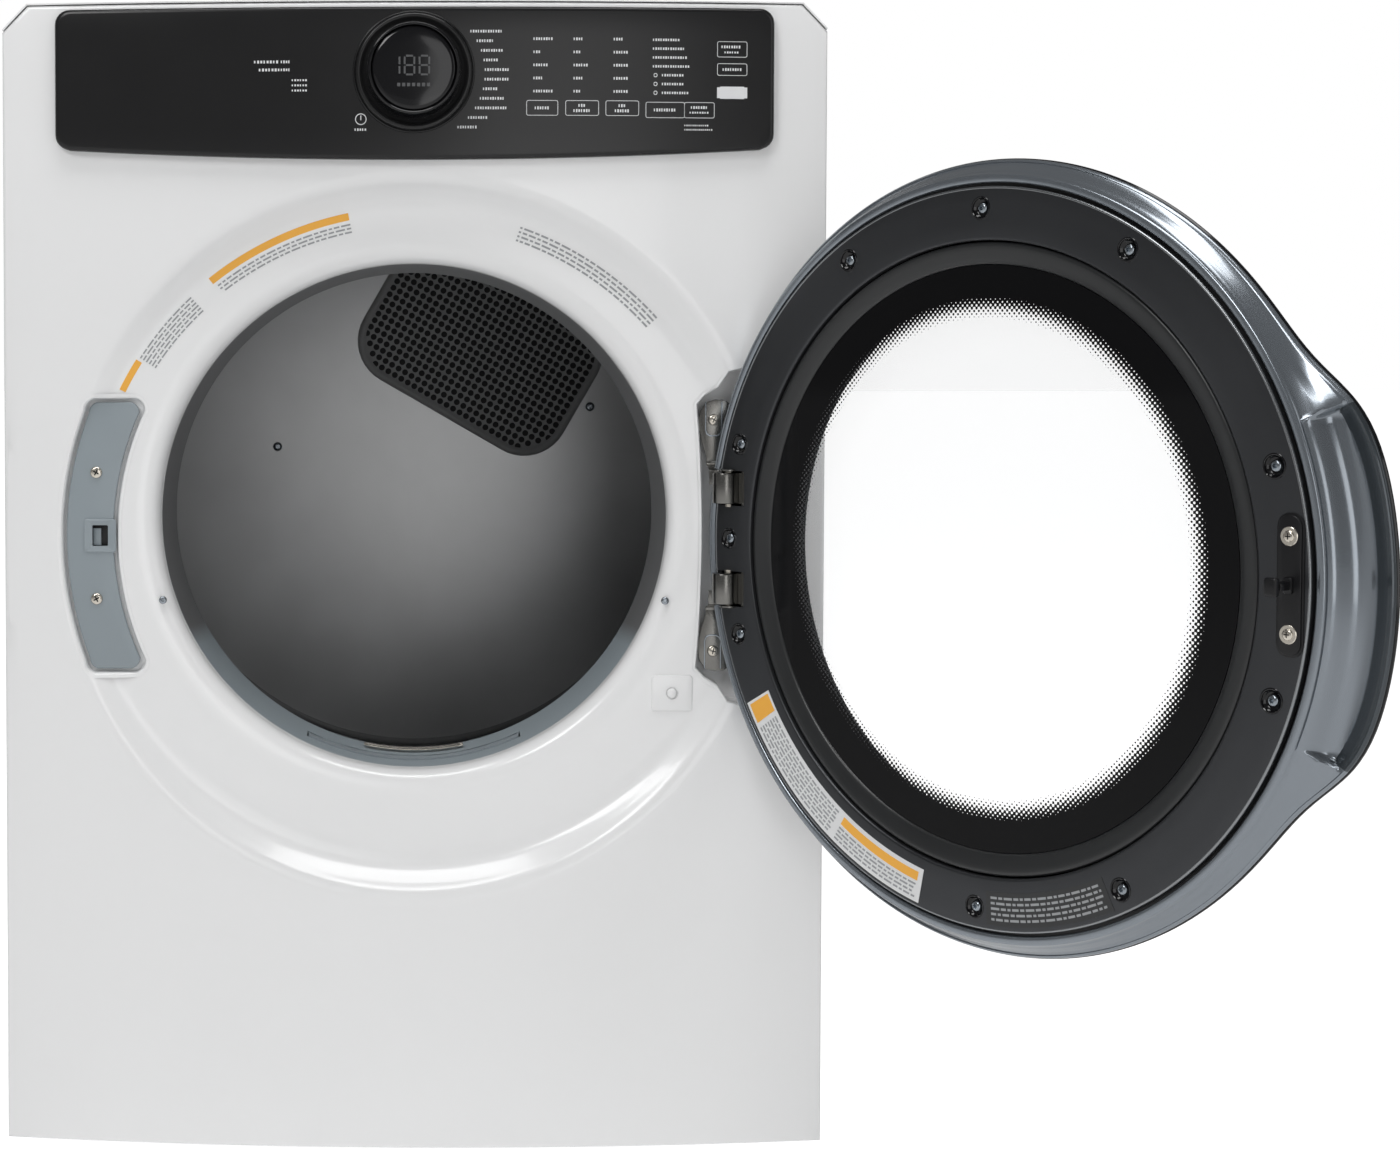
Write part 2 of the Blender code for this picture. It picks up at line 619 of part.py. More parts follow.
def make_console():
    bent_plate("console_fascia", GRAPHITE, console_outline(), CONSOLE_PROUD, CONSOLE_WALL, CONSOLE_PROUD - GAP)
    low, high = Vector((-0.246, FRONT + 0.0155, DIAL_Z - 0.040)), Vector((0.246, FRONT + 0.060, DIAL_Z + 0.029))
    support = box("console_support", CHARCOAL, low, high)
    inner = Vector((0.002, 0.002, 0.002))
    boolean(support, box("support_hollow", WHITE, low + inner - Vector((0, 0.02, 0)), high - inner))
    box("control_board", BOARD, (-0.235, FRONT + 0.034, DIAL_Z - 0.035), (0.235, FRONT + 0.0356, DIAL_Z + 0.024))
    face = FRONT - CONSOLE_PROUD
    core = DIAL_CORE_RADIUS
    lip = DIAL_BORE + 0.0065
    turned("dial_base", GRAPHITE, [
        (core - 0.003, -GAP), (core - 0.003, -0.027), (core, -0.027), (core, -0.0035), (lip, -0.0035),
        (DIAL_BASE_RADIUS - 0.001, -0.0055), (DIAL_BASE_RADIUS, -0.0045), (DIAL_BASE_RADIUS, -GAP)],
        (0, face, DIAL_Z), segments=DIAL_SEGMENTS)
    turned("selector_ring", GRAPHITE, [
        (DIAL_BORE, -0.0042), (DIAL_BORE, -DIAL_LENGTH), (DIAL_TIP_RADIUS - 0.001, -DIAL_LENGTH),
        (DIAL_TIP_RADIUS, -DIAL_LENGTH + 0.001), (DIAL_RADIUS, -0.0062), (DIAL_RADIUS, -0.0042)],
        (0, face, DIAL_Z), segments=DIAL_SEGMENTS)
    rod("display_window", CLEAR, (0, face - 0.0275, DIAL_Z), (0, face - 0.0305, DIAL_Z), core, segments=DIAL_SEGMENTS)


# ---------------------------------------------------------------- latch side and hinge side of the cabinet
SWITCH_X, SWITCH_Z = 0.216, 0.379


def make_strike():
    face, back = FRONT + STRIKE_FACE, FRONT + STRIKE_POCKET - GAP
    outline = sector(STRIKE_INNER, STRIKE_OUTER, STRIKE_HALF, -1, 0.009)
    plate = prism("strike_plate", SLATE, outline, face, back)
    boolean(plate, box("strike_catch", WHITE,
                       (-LATCH_RADIUS - CATCH_WIDTH / 2, face - 0.01, RING_Z - CATCH_HEIGHT / 2),
                       (-LATCH_RADIUS + CATCH_WIDTH / 2, back + 0.01, RING_Z + CATCH_HEIGHT / 2)))


def make_door_switch():
    rod("door_switch_plunger", CHARCOAL, (SWITCH_X, FRONT + 0.0205, SWITCH_Z), (SWITCH_X, FRONT + 0.0410, SWITCH_Z),
        0.0045)
    low, high = (SWITCH_X - 0.012, FRONT + 0.0445, SWITCH_Z - 0.010), (SWITCH_X + 0.012, FRONT + 0.0640, SWITCH_Z + 0.010)
    box("door_switch", CHARCOAL, low, high)


def hinge_ear(name, z):
    """A flat ear that carries the pin, from the pocket's floor forward to the axis."""
    x, y = HINGE.x, HINGE.y
    root = FRONT + POCKET_DEPTH - GAP - LEAF_WALL / 2
    outline = [(x - 0.017, root), (x - 0.0095, root), (x - 0.0095, y + 0.014), (x + 0.0035, y + 0.0062),
               (x + 0.0071, y), (x + 0.0050, y - 0.0050), (x, y - 0.0071), (x - 0.0050, y - 0.0050),
               (x - 0.0071, y), (x - 0.017, y + 0.016)]
    bm = bmesh.new()
    face = bm.faces.new([bm.verts.new((px, py, z - EAR_WALL / 2)) for px, py in outline])
    grown = bmesh.ops.extrude_face_region(bm, geom=[face])
    moved = [v for v in grown["geom"] if isinstance(v, bmesh.types.BMVert)]
    bmesh.ops.translate(bm, vec=(0, 0, EAR_WALL), verts=moved)
    bmesh.ops.recalc_face_normals(bm, faces=bm.faces)
    return finish(name, mesh_from(bm, name), STEEL)


def make_hinge():
    floor = FRONT + POCKET_DEPTH - GAP
    x = HINGE_X
    half = POCKET_HALF - 0.006
    waist = [(x + 0.002, -half), (x + 0.006, -half + 0.012), (x + 0.001, -0.060), (x + 0.001, 0.060),
             (x + 0.006, half - 0.012), (x + 0.002, half), (x - 0.020, half), (x - 0.0235, half - 0.010),
             (x - 0.0175, 0.060), (x - 0.0175, -0.060), (x - 0.0235, -half + 0.010), (x - 0.020, -half)]
    leaf = prism("hinge_frame_leaf", STEEL, [(px, pz + RING_Z) for px, pz in waist], floor - LEAF_WALL, floor)
    ear_gap = BARREL_LENGTH / 2 + 0.0005 + EAR_WALL / 2
    pin_half = ear_gap + EAR_WALL / 2 + 0.0005
    for end, side in (("upper", 1), ("lower", -1)):
        centre = RING_Z + side * BARREL_CENTRE
        for place, z in (("a", centre - ear_gap), ("b", centre + ear_gap)):
            boolean(leaf, hinge_ear(f"{end}_ear_{place}", z), 'UNION')
        hole = rod(f"{end}_ear_bore", WHITE, (x, HINGE.y, centre - 0.03), (x, HINGE.y, centre + 0.03),
                   PIN_RADIUS + PIN_CLEARANCE)
        boolean(leaf, hole)
        rod(f"hinge_pin_{end}", STEEL, (x, HINGE.y, centre - pin_half), (x, HINGE.y, centre + pin_half), PIN_RADIUS)


# ---------------------------------------------------------------- door, modelled closed about its hinge axis
DOOR = bpy.data.objects.new("door_hinge_axis", None)
PARTS.objects.link(DOOR)
DOOR.location = HINGE
DOOR.rotation_euler = (0, 0, math.radians(DOOR_REST))


def handle_at(angle):
    """Extra radius of the rim at an angle from the latch side."""
    return HANDLE_REACH / (1 + math.exp((abs(angle) - HANDLE_ANGLE) / HANDLE_FADE))


def grip_at(angle):
    """1 inside the finger pocket, 0 outside it."""
    return 1.0 if abs(angle) < GRIP_ANGLE else 0.0


def door_ring(radius_at, offset_at, segments):
    """A ring about the door's centre; offset is measured outward of the plate's face."""
    ring = []
    for i in range(segments):
        turn = 2 * math.pi * i / segments
        angle = math.degrees(math.atan2(math.sin(turn), -math.cos(turn)))
        radius = radius_at(angle)
        ring.append(Vector((-HINGE_X + radius * math.cos(turn), -offset_at(angle), radius * math.sin(turn))))
    return ring


def plain(value):
    return lambda angle: value


def make_door_shell():
    segments = SEGMENTS

    def rim(extra):
        return lambda angle: RIM_RADIUS + extra + handle_at(angle)

    def pocket(plain_radius, pocket_radius, follow):
        return lambda angle: (plain_radius + (pocket_radius - plain_radius) * grip_at(angle)
                              + follow * handle_at(angle))

    def pocket_depth(plain_offset, pocket_offset):
        return lambda angle: plain_offset + (pocket_offset - plain_offset) * grip_at(angle)

    slope = RIM_OFFSET - LIP_OFFSET
    rings = [
        door_ring(plain(LIP_INNER), plain(LIP_OFFSET + 0.006), segments),
        door_ring(plain(LIP_INNER), plain(LIP_OFFSET), segments),
        door_ring(plain(LIP_OUTER), plain(LIP_OFFSET), segments),
        door_ring(pocket(LIP_OUTER + 0.003, LIP_OUTER + 0.004, 0.0), plain(LIP_OFFSET + 0.25 * slope), segments),
        door_ring(pocket(LIP_OUTER + 0.006, LIP_OUTER + 0.006, 0.25), pocket_depth(0.011, GRIP_DEPTH), segments),
        door_ring(pocket(RIM_RADIUS - 0.003, RIM_RADIUS - 0.008, 0.85), pocket_depth(0.0145, GRIP_DEPTH), segments),
        door_ring(rim(-0.0015), plain(RIM_OFFSET - 0.002), segments),
        door_ring(rim(0), plain(RIM_OFFSET), segments),
        door_ring(rim(-0.0040), plain(RIM_OFFSET + 0.0025), segments),
    ]
    shell = finish("door_outer_shell", skin(rings, "door_outer_shell"), SILVER, parent=DOOR)
    add_solidify(shell, SHELL_WALL, -1)
    return shell


def cut_hinge_windows(piece, near_x, low_y, high_y, half):
    """Openings for the hinge barrels and ears, in the door's own frame."""
    for end, side in (("upper", 1), ("lower", -1)):
        centre = side * BARREL_CENTRE
        boolean(piece, box(f"{piece.name}_{end}_window", WHITE, (near_x, low_y, centre - half),
                           (near_x + 0.090, high_y, centre + half), parent=DOOR))


def make_lens():
    segments = SEGMENTS
    drop = LENS_CROWN - RIM_OFFSET - 0.0030

    def ring(share, bulge):
        def dome(angle):
            return RIM_OFFSET + 0.0030 + drop * (1 - share ** 2) + bulge * handle_at(angle) / HANDLE_REACH
        return door_ring(lambda angle: (RIM_RADIUS - 0.001 + handle_at(angle)) * share, dome, segments)

    rings = [ring(1.0, 0), ring(0.97, HANDLE_BULGE), ring(0.84, HANDLE_BULGE), ring(0.45, 0)]
    lens = finish("door_outer_lens", skin(rings, "door_outer_lens", caps=(-1,)), CLEAR, parent=DOOR)
    add_solidify(lens, LENS_WALL, 1)


def make_door():
    centre = (-HINGE_X, 0, 0)
    shell = make_door_shell()
    window = BARREL_LENGTH / 2 + EAR_WALL + 0.0035
    cut_hinge_windows(shell, 0.0130, -0.0158, 0.020, window)
    make_lens()
    plate = turned("door_inner_plate", CHARCOAL, [
        (PLATE_HOLE, -0.0060), (PLATE_HOLE, -0.0010), (PLATE_HOLE + 0.0010, 0), (PLATE_RADIUS - 0.0012, 0),
        (PLATE_RADIUS, -0.0012), (PLATE_RADIUS, -0.0055), (PLATE_RADIUS - PLATE_WALL, -0.0055),
        (PLATE_RADIUS - PLATE_WALL, -PLATE_WALL), (PLATE_HOLE + PLATE_WALL, -PLATE_WALL),
        (PLATE_HOLE + PLATE_WALL, -0.0060)], centre, DOOR)
    cut_hinge_windows(plate, -0.0180, -0.020, 0.020, BARREL_LENGTH / 2 + EAR_WALL + 0.0025)
    turned("door_window_bezel", DARK_STEEL, [
        (BEZEL_HOLE, -0.0130), (BEZEL_HOLE, -GLASS_OFFSET - GLASS_WALL - GAP),
        (GLASS_RADIUS + GAP, -GLASS_OFFSET - GLASS_WALL - GAP), (GLASS_RADIUS + GAP, -0.0030),
        (BEZEL_RADIUS - 0.001, -0.0020), (BEZEL_RADIUS, -0.0030), (BEZEL_RADIUS, -0.0130)], centre, DOOR)
    rod("door_inner_glass", CLEAR, (-HINGE_X, -GLASS_OFFSET - GLASS_WALL, 0), (-HINGE_X, -GLASS_OFFSET, 0),
        GLASS_RADIUS, DOOR, SEGMENTS)
    chassis = turned("door_chassis", DARK_STEEL, [
        (0.2170, -0.0290), (0.2170, -0.0134), (BEZEL_RADIUS + 0.0005, -0.0134), (BEZEL_RADIUS + 0.0005, -0.0064),
        (0.2760, -0.0064), (0.2760, -0.0080), (BEZEL_RADIUS + 0.0022, -0.0080), (BEZEL_RADIUS + 0.0022, -0.0150),
        (0.2186, -0.0150), (0.2186, -0.0290)], centre, DOOR)
    cut_hinge_windows(chassis, -0.0100, -0.020, 0.020, BARREL_LENGTH / 2 + EAR_WALL + 0.0025)


def make_door_hinge_leaf():
    """Straps and barrels that turn on the pins, fixed between the door's plate and chassis."""
    strap = BARREL_LENGTH / 2
    leaf = box("hinge_door_leaf", STEEL, (-0.0205, -0.0056, -0.0740), (-0.0110, -0.0036, 0.0740), parent=DOOR)
    for end, side in (("upper", 1), ("lower", -1)):
        centre = side * BARREL_CENTRE
        boolean(leaf, box(f"{end}_strap", WHITE, (-0.0120, -0.0056, centre - strap), (-0.0045, -0.0036, centre + strap),
                          parent=DOOR), 'UNION')
        boolean(leaf, rod(f"{end}_barrel", WHITE, (0, 0, centre - strap), (0, 0, centre + strap), BARREL_RADIUS, DOOR),
                'UNION')
        boolean(leaf, rod(f"{end}_barrel_bore", WHITE, (0, 0, centre - 0.03), (0, 0, centre + 0.03),
                          PIN_RADIUS + PIN_CLEARANCE, DOOR))


def make_latch():
    """The hook on the door that enters the catch."""
    x = HINGE_X + LATCH_RADIUS
    hook = box("door_latch_hook", BLACK, (-x - 0.0085, GAP, -0.046), (-x + 0.0085, 0.0024, 0.046), parent=DOOR)
    boolean(hook, box("hook_stem", WHITE, (-x - 0.0020, 0.001, -0.0030), (-x + 0.0020, HOOK_REACH, 0.0030),
                      parent=DOOR), 'UNION')
    boolean(hook, box("hook_head", WHITE, (-x - 0.0045, HOOK_REACH - 0.006, -0.0065),
                      (-x + 0.0045, HOOK_REACH - 0.001, 0.0065), parent=DOOR), 'UNION')


# ---------------------------------------------------------------- bulkheads, seals and drum
def bulkhead_outline():
    half = WIDTH / 2 - SHEET - SIDE_FLANGE - 0.002
    low, high = DRUM_Z - BULKHEAD_HALF, DRUM_Z + BULKHEAD_HALF
    return [(half, low), (half, high), (-half, high), (-half, low)]


def depth_circle(radius, depth, centre_z=DRUM_Z):
    return circle(radius, FRONT + depth, centre_z, segments=DRUM_SEGMENTS)


def make_front_bulkhead():
    collar = COLLAR_RADIUS
    depth = FRONT_BULKHEAD_DEPTH
    bead = NECK_RADIUS - SEAL_WALL - SHEET - 2 * GAP
    edge = [Vector((x, FRONT + depth, z)) for x, z in along_outline(bulkhead_outline(), DRUM_Z, DRUM_SEGMENTS)]
    rings = [
        edge,
        depth_circle(bead + 0.012, depth),
        depth_circle(bead, depth),
        depth_circle(bead, depth + BEAD_LENGTH),
        depth_circle(bead - BEAD_WIDTH, depth + BEAD_LENGTH),
        depth_circle(bead - BEAD_WIDTH, depth),
        depth_circle(collar - COLLAR_TAPER + 0.006, depth, MOUTH_Z + 0.001),
        depth_circle(collar - COLLAR_TAPER, depth - 0.005, MOUTH_Z + 0.001),
        depth_circle(collar, MOUTH_DEPTH + 0.006, MOUTH_Z)]
    bulkhead = finish("front_bulkhead", skin(rings, "front_bulkhead"), SLATE)
    add_solidify(bulkhead, SHEET, -1)
    slot = SCREEN_WIDTH / 2 + 0.0015
    boolean(bulkhead, box("screen_slot", WHITE, (-slot, SCREEN_Y - SCREEN_WALL / 2 - 0.0015, 0.250),
                          (slot, SCREEN_Y + SCREEN_WALL / 2 + 0.0015, MOUTH_Z - 0.100)))
    seat = bead + SHEET + GAP
    turned("front_drum_seal", FELT, [
        (seat, 0), (seat + SEAL_WALL, 0), (seat + SEAL_WALL, -SEAL_LENGTH), (seat, -SEAL_LENGTH)],
        (0, FRONT + depth + BEAD_LENGTH - 0.001, DRUM_Z), segments=DRUM_SEGMENTS)


SCREEN_Y = FRONT + 0.078


def make_rear_bulkhead():
    depth = REAR_BULKHEAD_DEPTH
    bead = REAR_NECK_RADIUS - SEAL_WALL - 2 * GAP
    edge = [Vector((x, FRONT + depth, z)) for x, z in along_outline(bulkhead_outline(), DRUM_Z, DRUM_SEGMENTS)]
    rings = [
        edge,
        depth_circle(bead + 0.010, depth),
        depth_circle(bead, depth),
        depth_circle(bead, depth - BEAD_LENGTH),
        depth_circle(bead - BEAD_WIDTH, depth - BEAD_LENGTH),
        depth_circle(bead - BEAD_WIDTH, depth),
        depth_circle(0.150, depth)]
    bulkhead = finish("rear_bulkhead", skin(rings, "rear_bulkhead", caps=(-1,)), GALVANISED)
    add_solidify(bulkhead, SHEET, -1)
    boolean(bulkhead, prism("grille_opening", WHITE, grille_outline(-0.012), FRONT + depth - 0.01,
                            FRONT + depth + 0.01, location=(GRILLE_X, 0, GRILLE_Z)))
    turned("rear_drum_seal", FELT, [
        (bead + GAP, SEAL_LENGTH), (bead + SEAL_WALL + GAP, SEAL_LENGTH), (bead + SEAL_WALL + GAP, 0), (bead + GAP, 0)],
        (0, FRONT + depth - BEAD_LENGTH + 0.001, DRUM_Z), segments=DRUM_SEGMENTS)
    grille = prism("inlet_grille", DARK_STEEL, grille_outline(0), FRONT + depth - 0.0030 - GAP,
                   FRONT + depth - GAP, location=(GRILLE_X, 0, GRILLE_Z))
    slots = 6
    tilt = math.radians(GRILLE_TILT)
    for i in range(slots):
        across = 0.150 * ((i + 0.5) / slots - 0.5)
        centre = Vector((GRILLE_X - across * math.sin(tilt), 0, GRILLE_Z + across * math.cos(tilt)))
        slot = box(f"grille_slot_{i}", WHITE, centre + Vector((-0.085, FRONT + depth - 0.02, -0.004)),
                   centre + Vector((0.085, FRONT + depth + 0.02, 0.004)))
        slot.rotation_euler = (0, -tilt, 0)
        boolean(grille, slot)


def grille_outline(margin):
    """Rounded plate, tilted down to the right."""
    wide, tall = 0.121 + margin, 0.084 + margin
    corners = [(wide, -tall), (wide * 0.86, tall), (-wide, tall * 0.80), (-wide * 0.80, -tall)]
    tilt = math.radians(GRILLE_TILT)
    return [(x * math.cos(tilt) - z * math.sin(tilt), x * math.sin(tilt) + z * math.cos(tilt))
            for x, z in rounded(corners, 0.045, 5)]


def make_drum():
    front, back = DRUM_FRONT_DEPTH, DRUM_REAR_DEPTH
    shoulder = 0.012
    profile = [
        (NECK_RADIUS, front), (NECK_RADIUS, front + NECK_LENGTH), (DRUM_RADIUS, front + NECK_LENGTH + shoulder),
        (DRUM_RADIUS, back - NECK_LENGTH - shoulder), (REAR_NECK_RADIUS, back - NECK_LENGTH), (REAR_NECK_RADIUS, back)]
    wall = DRUM_WALL
    outside = [(radius + wall, depth) for radius, depth in reversed(profile)]
    outline = [(radius, depth - front) for radius, depth in profile + outside]
    turned("drum", GALVANISED, outline, (0, FRONT + front, DRUM_Z), segments=DRUM_SEGMENTS)
    start = FRONT + front + NECK_LENGTH + 0.035
    seat = math.sqrt((DRUM_RADIUS - 0.0006) ** 2 - BAFFLE_HALF ** 2)
    crest = seat - BAFFLE_HEIGHT
    for number in range(3):
        turn = math.radians(90 + 120 * number)
        section = [(-BAFFLE_HALF, seat), (-BAFFLE_HALF * 0.45, crest + 0.014), (-0.010, crest), (0.010, crest),
                   (BAFFLE_HALF * 0.45, crest + 0.014), (BAFFLE_HALF, seat)]
        outline = [(x * math.sin(turn) + z * math.cos(turn), z * math.sin(turn) - x * math.cos(turn))
                   for x, z in section]
        baffle = prism(f"drum_baffle_{number + 1}", SLATE, outline, 0, BAFFLE_LENGTH, location=(0, start, DRUM_Z))
        add_bevel(baffle, 0.006, 2, 25)


def roller_place(side):
    reach = DRUM_RADIUS + DRUM_WALL + ROLLER_RADIUS + GAP
    turn = math.radians(ROLLER_ANGLE)
    return Vector((side * reach * math.sin(turn), 0, DRUM_Z - reach * math.cos(turn)))


def make_rollers():
    back = FRONT + REAR_BULKHEAD_DEPTH
    for name, side in (("left", -1), ("right", 1)):
        place = roller_place(side)
        y = back - 0.072
        half = ROLLER_WIDTH / 2
        turned(f"drum_roller_{name}", BLACK, [
            (AXLE_RADIUS + 0.0002, -half), (AXLE_RADIUS + 0.0002, half), (ROLLER_RADIUS - 0.002, half),
            (ROLLER_RADIUS, half - 0.002), (ROLLER_RADIUS, 0.002 - half), (ROLLER_RADIUS - 0.002, -half)],
            place + Vector((0, y, 0)), segments=24)
        rod(f"roller_axle_{name}", STEEL, place + Vector((0, y - half - 0.004, 0)), place + Vector((0, back - GAP, 0)),
            AXLE_RADIUS)


# ---------------------------------------------------------------- drive
def make_motor():
    y0, y1 = MOTOR_Y - MOTOR_LENGTH / 2, MOTOR_Y + MOTOR_LENGTH / 2
    motor = rod("drive_motor", COPPER, (MOTOR_X, y0, MOTOR_Z), (MOTOR_X, y1, MOTOR_Z), MOTOR_RADIUS, segments=32)
    foot_top = MOTOR_Z - MOTOR_RADIUS * 0.6
    boolean(motor, box("motor_foot", WHITE, (MOTOR_X - 0.055, y0 + 0.015, SHEET + GAP),
                       (MOTOR_X + 0.055, y1 - 0.015, foot_top)), 'UNION')
    add_idler_bracket(motor)
    boolean(motor, rod("motor_bore", WHITE, (MOTOR_X, y0 - 0.02, MOTOR_Z), (MOTOR_X, y1 + 0.02, MOTOR_Z),
                       SHAFT_RADIUS + 0.0005))
    shaft_front = BLOWER_Y - WHEEL_WIDTH / 2 - 0.004
    shaft = rod("motor_shaft", STEEL, (MOTOR_X, shaft_front, MOTOR_Z), (MOTOR_X, BELT_Y + 0.012, MOTOR_Z), SHAFT_RADIUS)
    boolean(shaft, rod("motor_pulley", STEEL, (MOTOR_X, BELT_Y - 0.008, MOTOR_Z), (MOTOR_X, BELT_Y + 0.008, MOTOR_Z),
                       PULLEY_RADIUS), 'UNION')


def paddle_outline(blades):
    outline = []
    for i in range(blades):
        for radius, lead in ((0.030, 0.0), (0.030, 0.62), (WHEEL_RADIUS, 0.66), (WHEEL_RADIUS, 0.96)):
            turn = 2 * math.pi * (i + lead) / blades
            outline.append((radius * math.cos(turn), radius * math.sin(turn)))
    return outline


def make_blower():
    place = Vector((MOTOR_X, BLOWER_Y, MOTOR_Z))
    half = WHEEL_WIDTH / 2
    wheel = prism("blower_wheel", CHARCOAL, paddle_outline(10), -half, half, location=place)
    boolean(wheel, rod("wheel_bore", WHITE, place - Vector((0, 0.05, 0)), place + Vector((0, 0.05, 0)),
                       SHAFT_RADIUS + 0.0003))
    wall = 0.002
    front, back = -half - 0.012, half + 0.012
    eye = 0.048
    housing = turned("blower_housing", SLATE, [
        (eye, front), (VOLUTE_RADIUS, front), (VOLUTE_RADIUS, back), (0.012, back), (0.012, back - wall),
        (VOLUTE_RADIUS - wall, back - wall), (VOLUTE_RADIUS - wall, front + wall), (eye, front + wall)], place,
        segments=28)
    boolean(housing, box("blower_outlet", WHITE, (MOTOR_X - VOLUTE_RADIUS - 0.01, BLOWER_Y - 0.028, MOTOR_Z - 0.028),
                         (MOTOR_X - 0.060, BLOWER_Y + 0.028, MOTOR_Z + 0.028)))


def tangent(first, r1, s1, second, r2, s2):
    """Angle, in degrees, of the normal to a straight run between two wheels; s is 1 for a wheel
    that the belt rounds anticlockwise and -1 for one that it rounds clockwise."""
    dx, dz = second[0] - first[0], second[1] - first[1]
    base = math.degrees(math.atan2(dz, dx))
    return base - math.degrees(math.acos((s1 * r1 - s2 * r2) / math.hypot(dx, dz)))


def belt_loop(offset):
    """(x, z) points of the belt, offset out from its inner side."""
    wheels = [((0, DRUM_Z), DRUM_RADIUS + DRUM_WALL + BELT_GAP + offset, 1, 30),
              ((IDLER_X, IDLER_Z), IDLER_RADIUS + GAP + BELT_WALL - offset, -1, 4),
              ((MOTOR_X, MOTOR_Z), PULLEY_RADIUS + GAP + offset, 1, 6)]
    points = []
    for i, (centre, radius, way, steps) in enumerate(wheels):
        before, after = wheels[i - 1], wheels[(i + 1) % 3]
        arrive = tangent(before[0], before[1], before[2], centre, radius, way)
        leave = tangent(centre, radius, way, after[0], after[1], after[2])
        span = ((leave - arrive) * way) % 360
        for k in range(steps + 1):
            turn = math.radians(arrive + way * span * k / steps + (0 if way > 0 else 180))
            points.append((centre[0] + radius * math.cos(turn), centre[1] + radius * math.sin(turn)))
    return points


def make_belt():
    inner, outer = belt_loop(0), belt_loop(BELT_WALL)
    front, back = BELT_Y - BELT_WIDTH / 2, BELT_Y + BELT_WIDTH / 2
    rings = [[Vector((x, y, z)) for x, z in loop]
             for loop, y in ((inner, front), (outer, front), (outer, back), (inner, back))]
    mesh = skin(rings, "drum_belt", loop=True)
    bm = bmesh.new()
    bm.from_mesh(mesh)
    bmesh.ops.recalc_face_normals(bm, faces=bm.faces)
    finish("drum_belt", mesh_from(bm, "drum_belt"), BLACK)


def make_idler():
    arm_front = BELT_Y + 0.0125
    pivot = Vector((IDLER_PIVOT_X, 0, IDLER_PIVOT_Z))
    hub = Vector((IDLER_X, 0, IDLER_Z))
    along = (hub - pivot).normalized()
    across = Vector((-along.z, 0, along.x)) * 0.008
    corners = [pivot - across - along * 0.008, pivot + across - along * 0.008,
               hub + across + along * 0.006, hub - across + along * 0.006]
    arm = prism("idler_arm", STEEL, [(p.x - pivot.x, p.z - pivot.z) for p in corners], arm_front, arm_front + 0.003,
                location=pivot)
    boolean(arm, rod("idler_axle", WHITE, hub + Vector((0, BELT_Y - 0.010, 0)), hub + Vector((0, arm_front + 0.002, 0)),
                     0.004), 'UNION')
    boolean(arm, rod("pivot_bore", WHITE, pivot + Vector((0, arm_front - 0.01, 0)),
                     pivot + Vector((0, arm_front + 0.01, 0)), PIVOT_RADIUS + 0.0003))
    half = 0.008
    turned("idler_pulley", CHARCOAL, [
        (0.0043, -half), (0.0043, half), (IDLER_RADIUS, half), (IDLER_RADIUS, -half)],
        hub + Vector((0, BELT_Y, 0)), segments=20)
    turned("idler_spring", STEEL, [
        (0.0052, 0.0), (0.0052, 0.007), (0.0070, 0.007), (0.0070, 0.0)],
        pivot + Vector((0, arm_front - 0.0080, 0)), segments=SMALL)


def add_idler_bracket(motor):
    """An upright on the motor's foot, with the pin that the idler arm turns on."""
    x, z = IDLER_PIVOT_X, IDLER_PIVOT_Z
    y = BELT_Y + 0.0165
    low = SHEET + GAP
    boolean(motor, box("bracket_strip", WHITE, (x - 0.012, MOTOR_Y, low), (x + 0.012, y + 0.003, low + 0.004)), 'UNION')
    boolean(motor, box("bracket_upright", WHITE, (x - 0.012, y, low), (x + 0.012, y + 0.003, z + 0.012)), 'UNION')
    boolean(motor, rod("bracket_pin", WHITE, (x, BELT_Y + 0.002, z), (x, y + 0.001, z), PIVOT_RADIUS), 'UNION')


def swept(places, radii, normal, segments):
    """Rings of a tube through places that lie in the plane with this normal."""
    rings = []
    for i, (place, radius) in enumerate(zip(places, radii)):
        heading = (places[min(i + 1, len(places) - 1)] - places[max(i - 1, 0)]).normalized()
        side = normal.cross(heading)
        turns = [2 * math.pi * k / segments for k in range(segments)]
        rings.append([place + side * (radius * math.cos(t)) + normal * (radius * math.sin(t)) for t in turns])
    return rings


def make_exhaust_duct():
    start_x = MOTOR_X - VOLUTE_RADIUS - 0.003
    bend = 0.090
    route = [(start_x, BLOWER_Y, 0.034), (start_x - 0.020, BLOWER_Y, DUCT_RADIUS)]
    for i in range(7):
        turn = math.radians(90 * i / 6)
        route.append((DUCT_X + bend - bend * math.sin(turn), BLOWER_Y + bend - bend * math.cos(turn), DUCT_RADIUS))
    route.append((DUCT_X, REAR + DUCT_OUTLET, DUCT_RADIUS))
    places = [Vector((x, y, DUCT_Z)) for x, y, radius in route]
    rings = swept(places, [radius for x, y, radius in route], Vector((0, 0, 1)), 20)
    duct = finish("exhaust_duct", skin(rings, "exhaust_duct"), GALVANISED)
    add_solidify(duct, DUCT_WALL, 0)


def lint_duct_outline(inset, top):
    half = SCREEN_WIDTH / 2 + 0.006 - inset
    right = MOTOR_X + 0.058 - inset
    return [(-half, top), (-half, 0.150 + inset * 0.6), (0.080, 0.032 + inset), (right, 0.032 + inset),
            (right, 0.155 - inset * 0.6), (half, 0.205 - inset * 0.4), (half, top)]


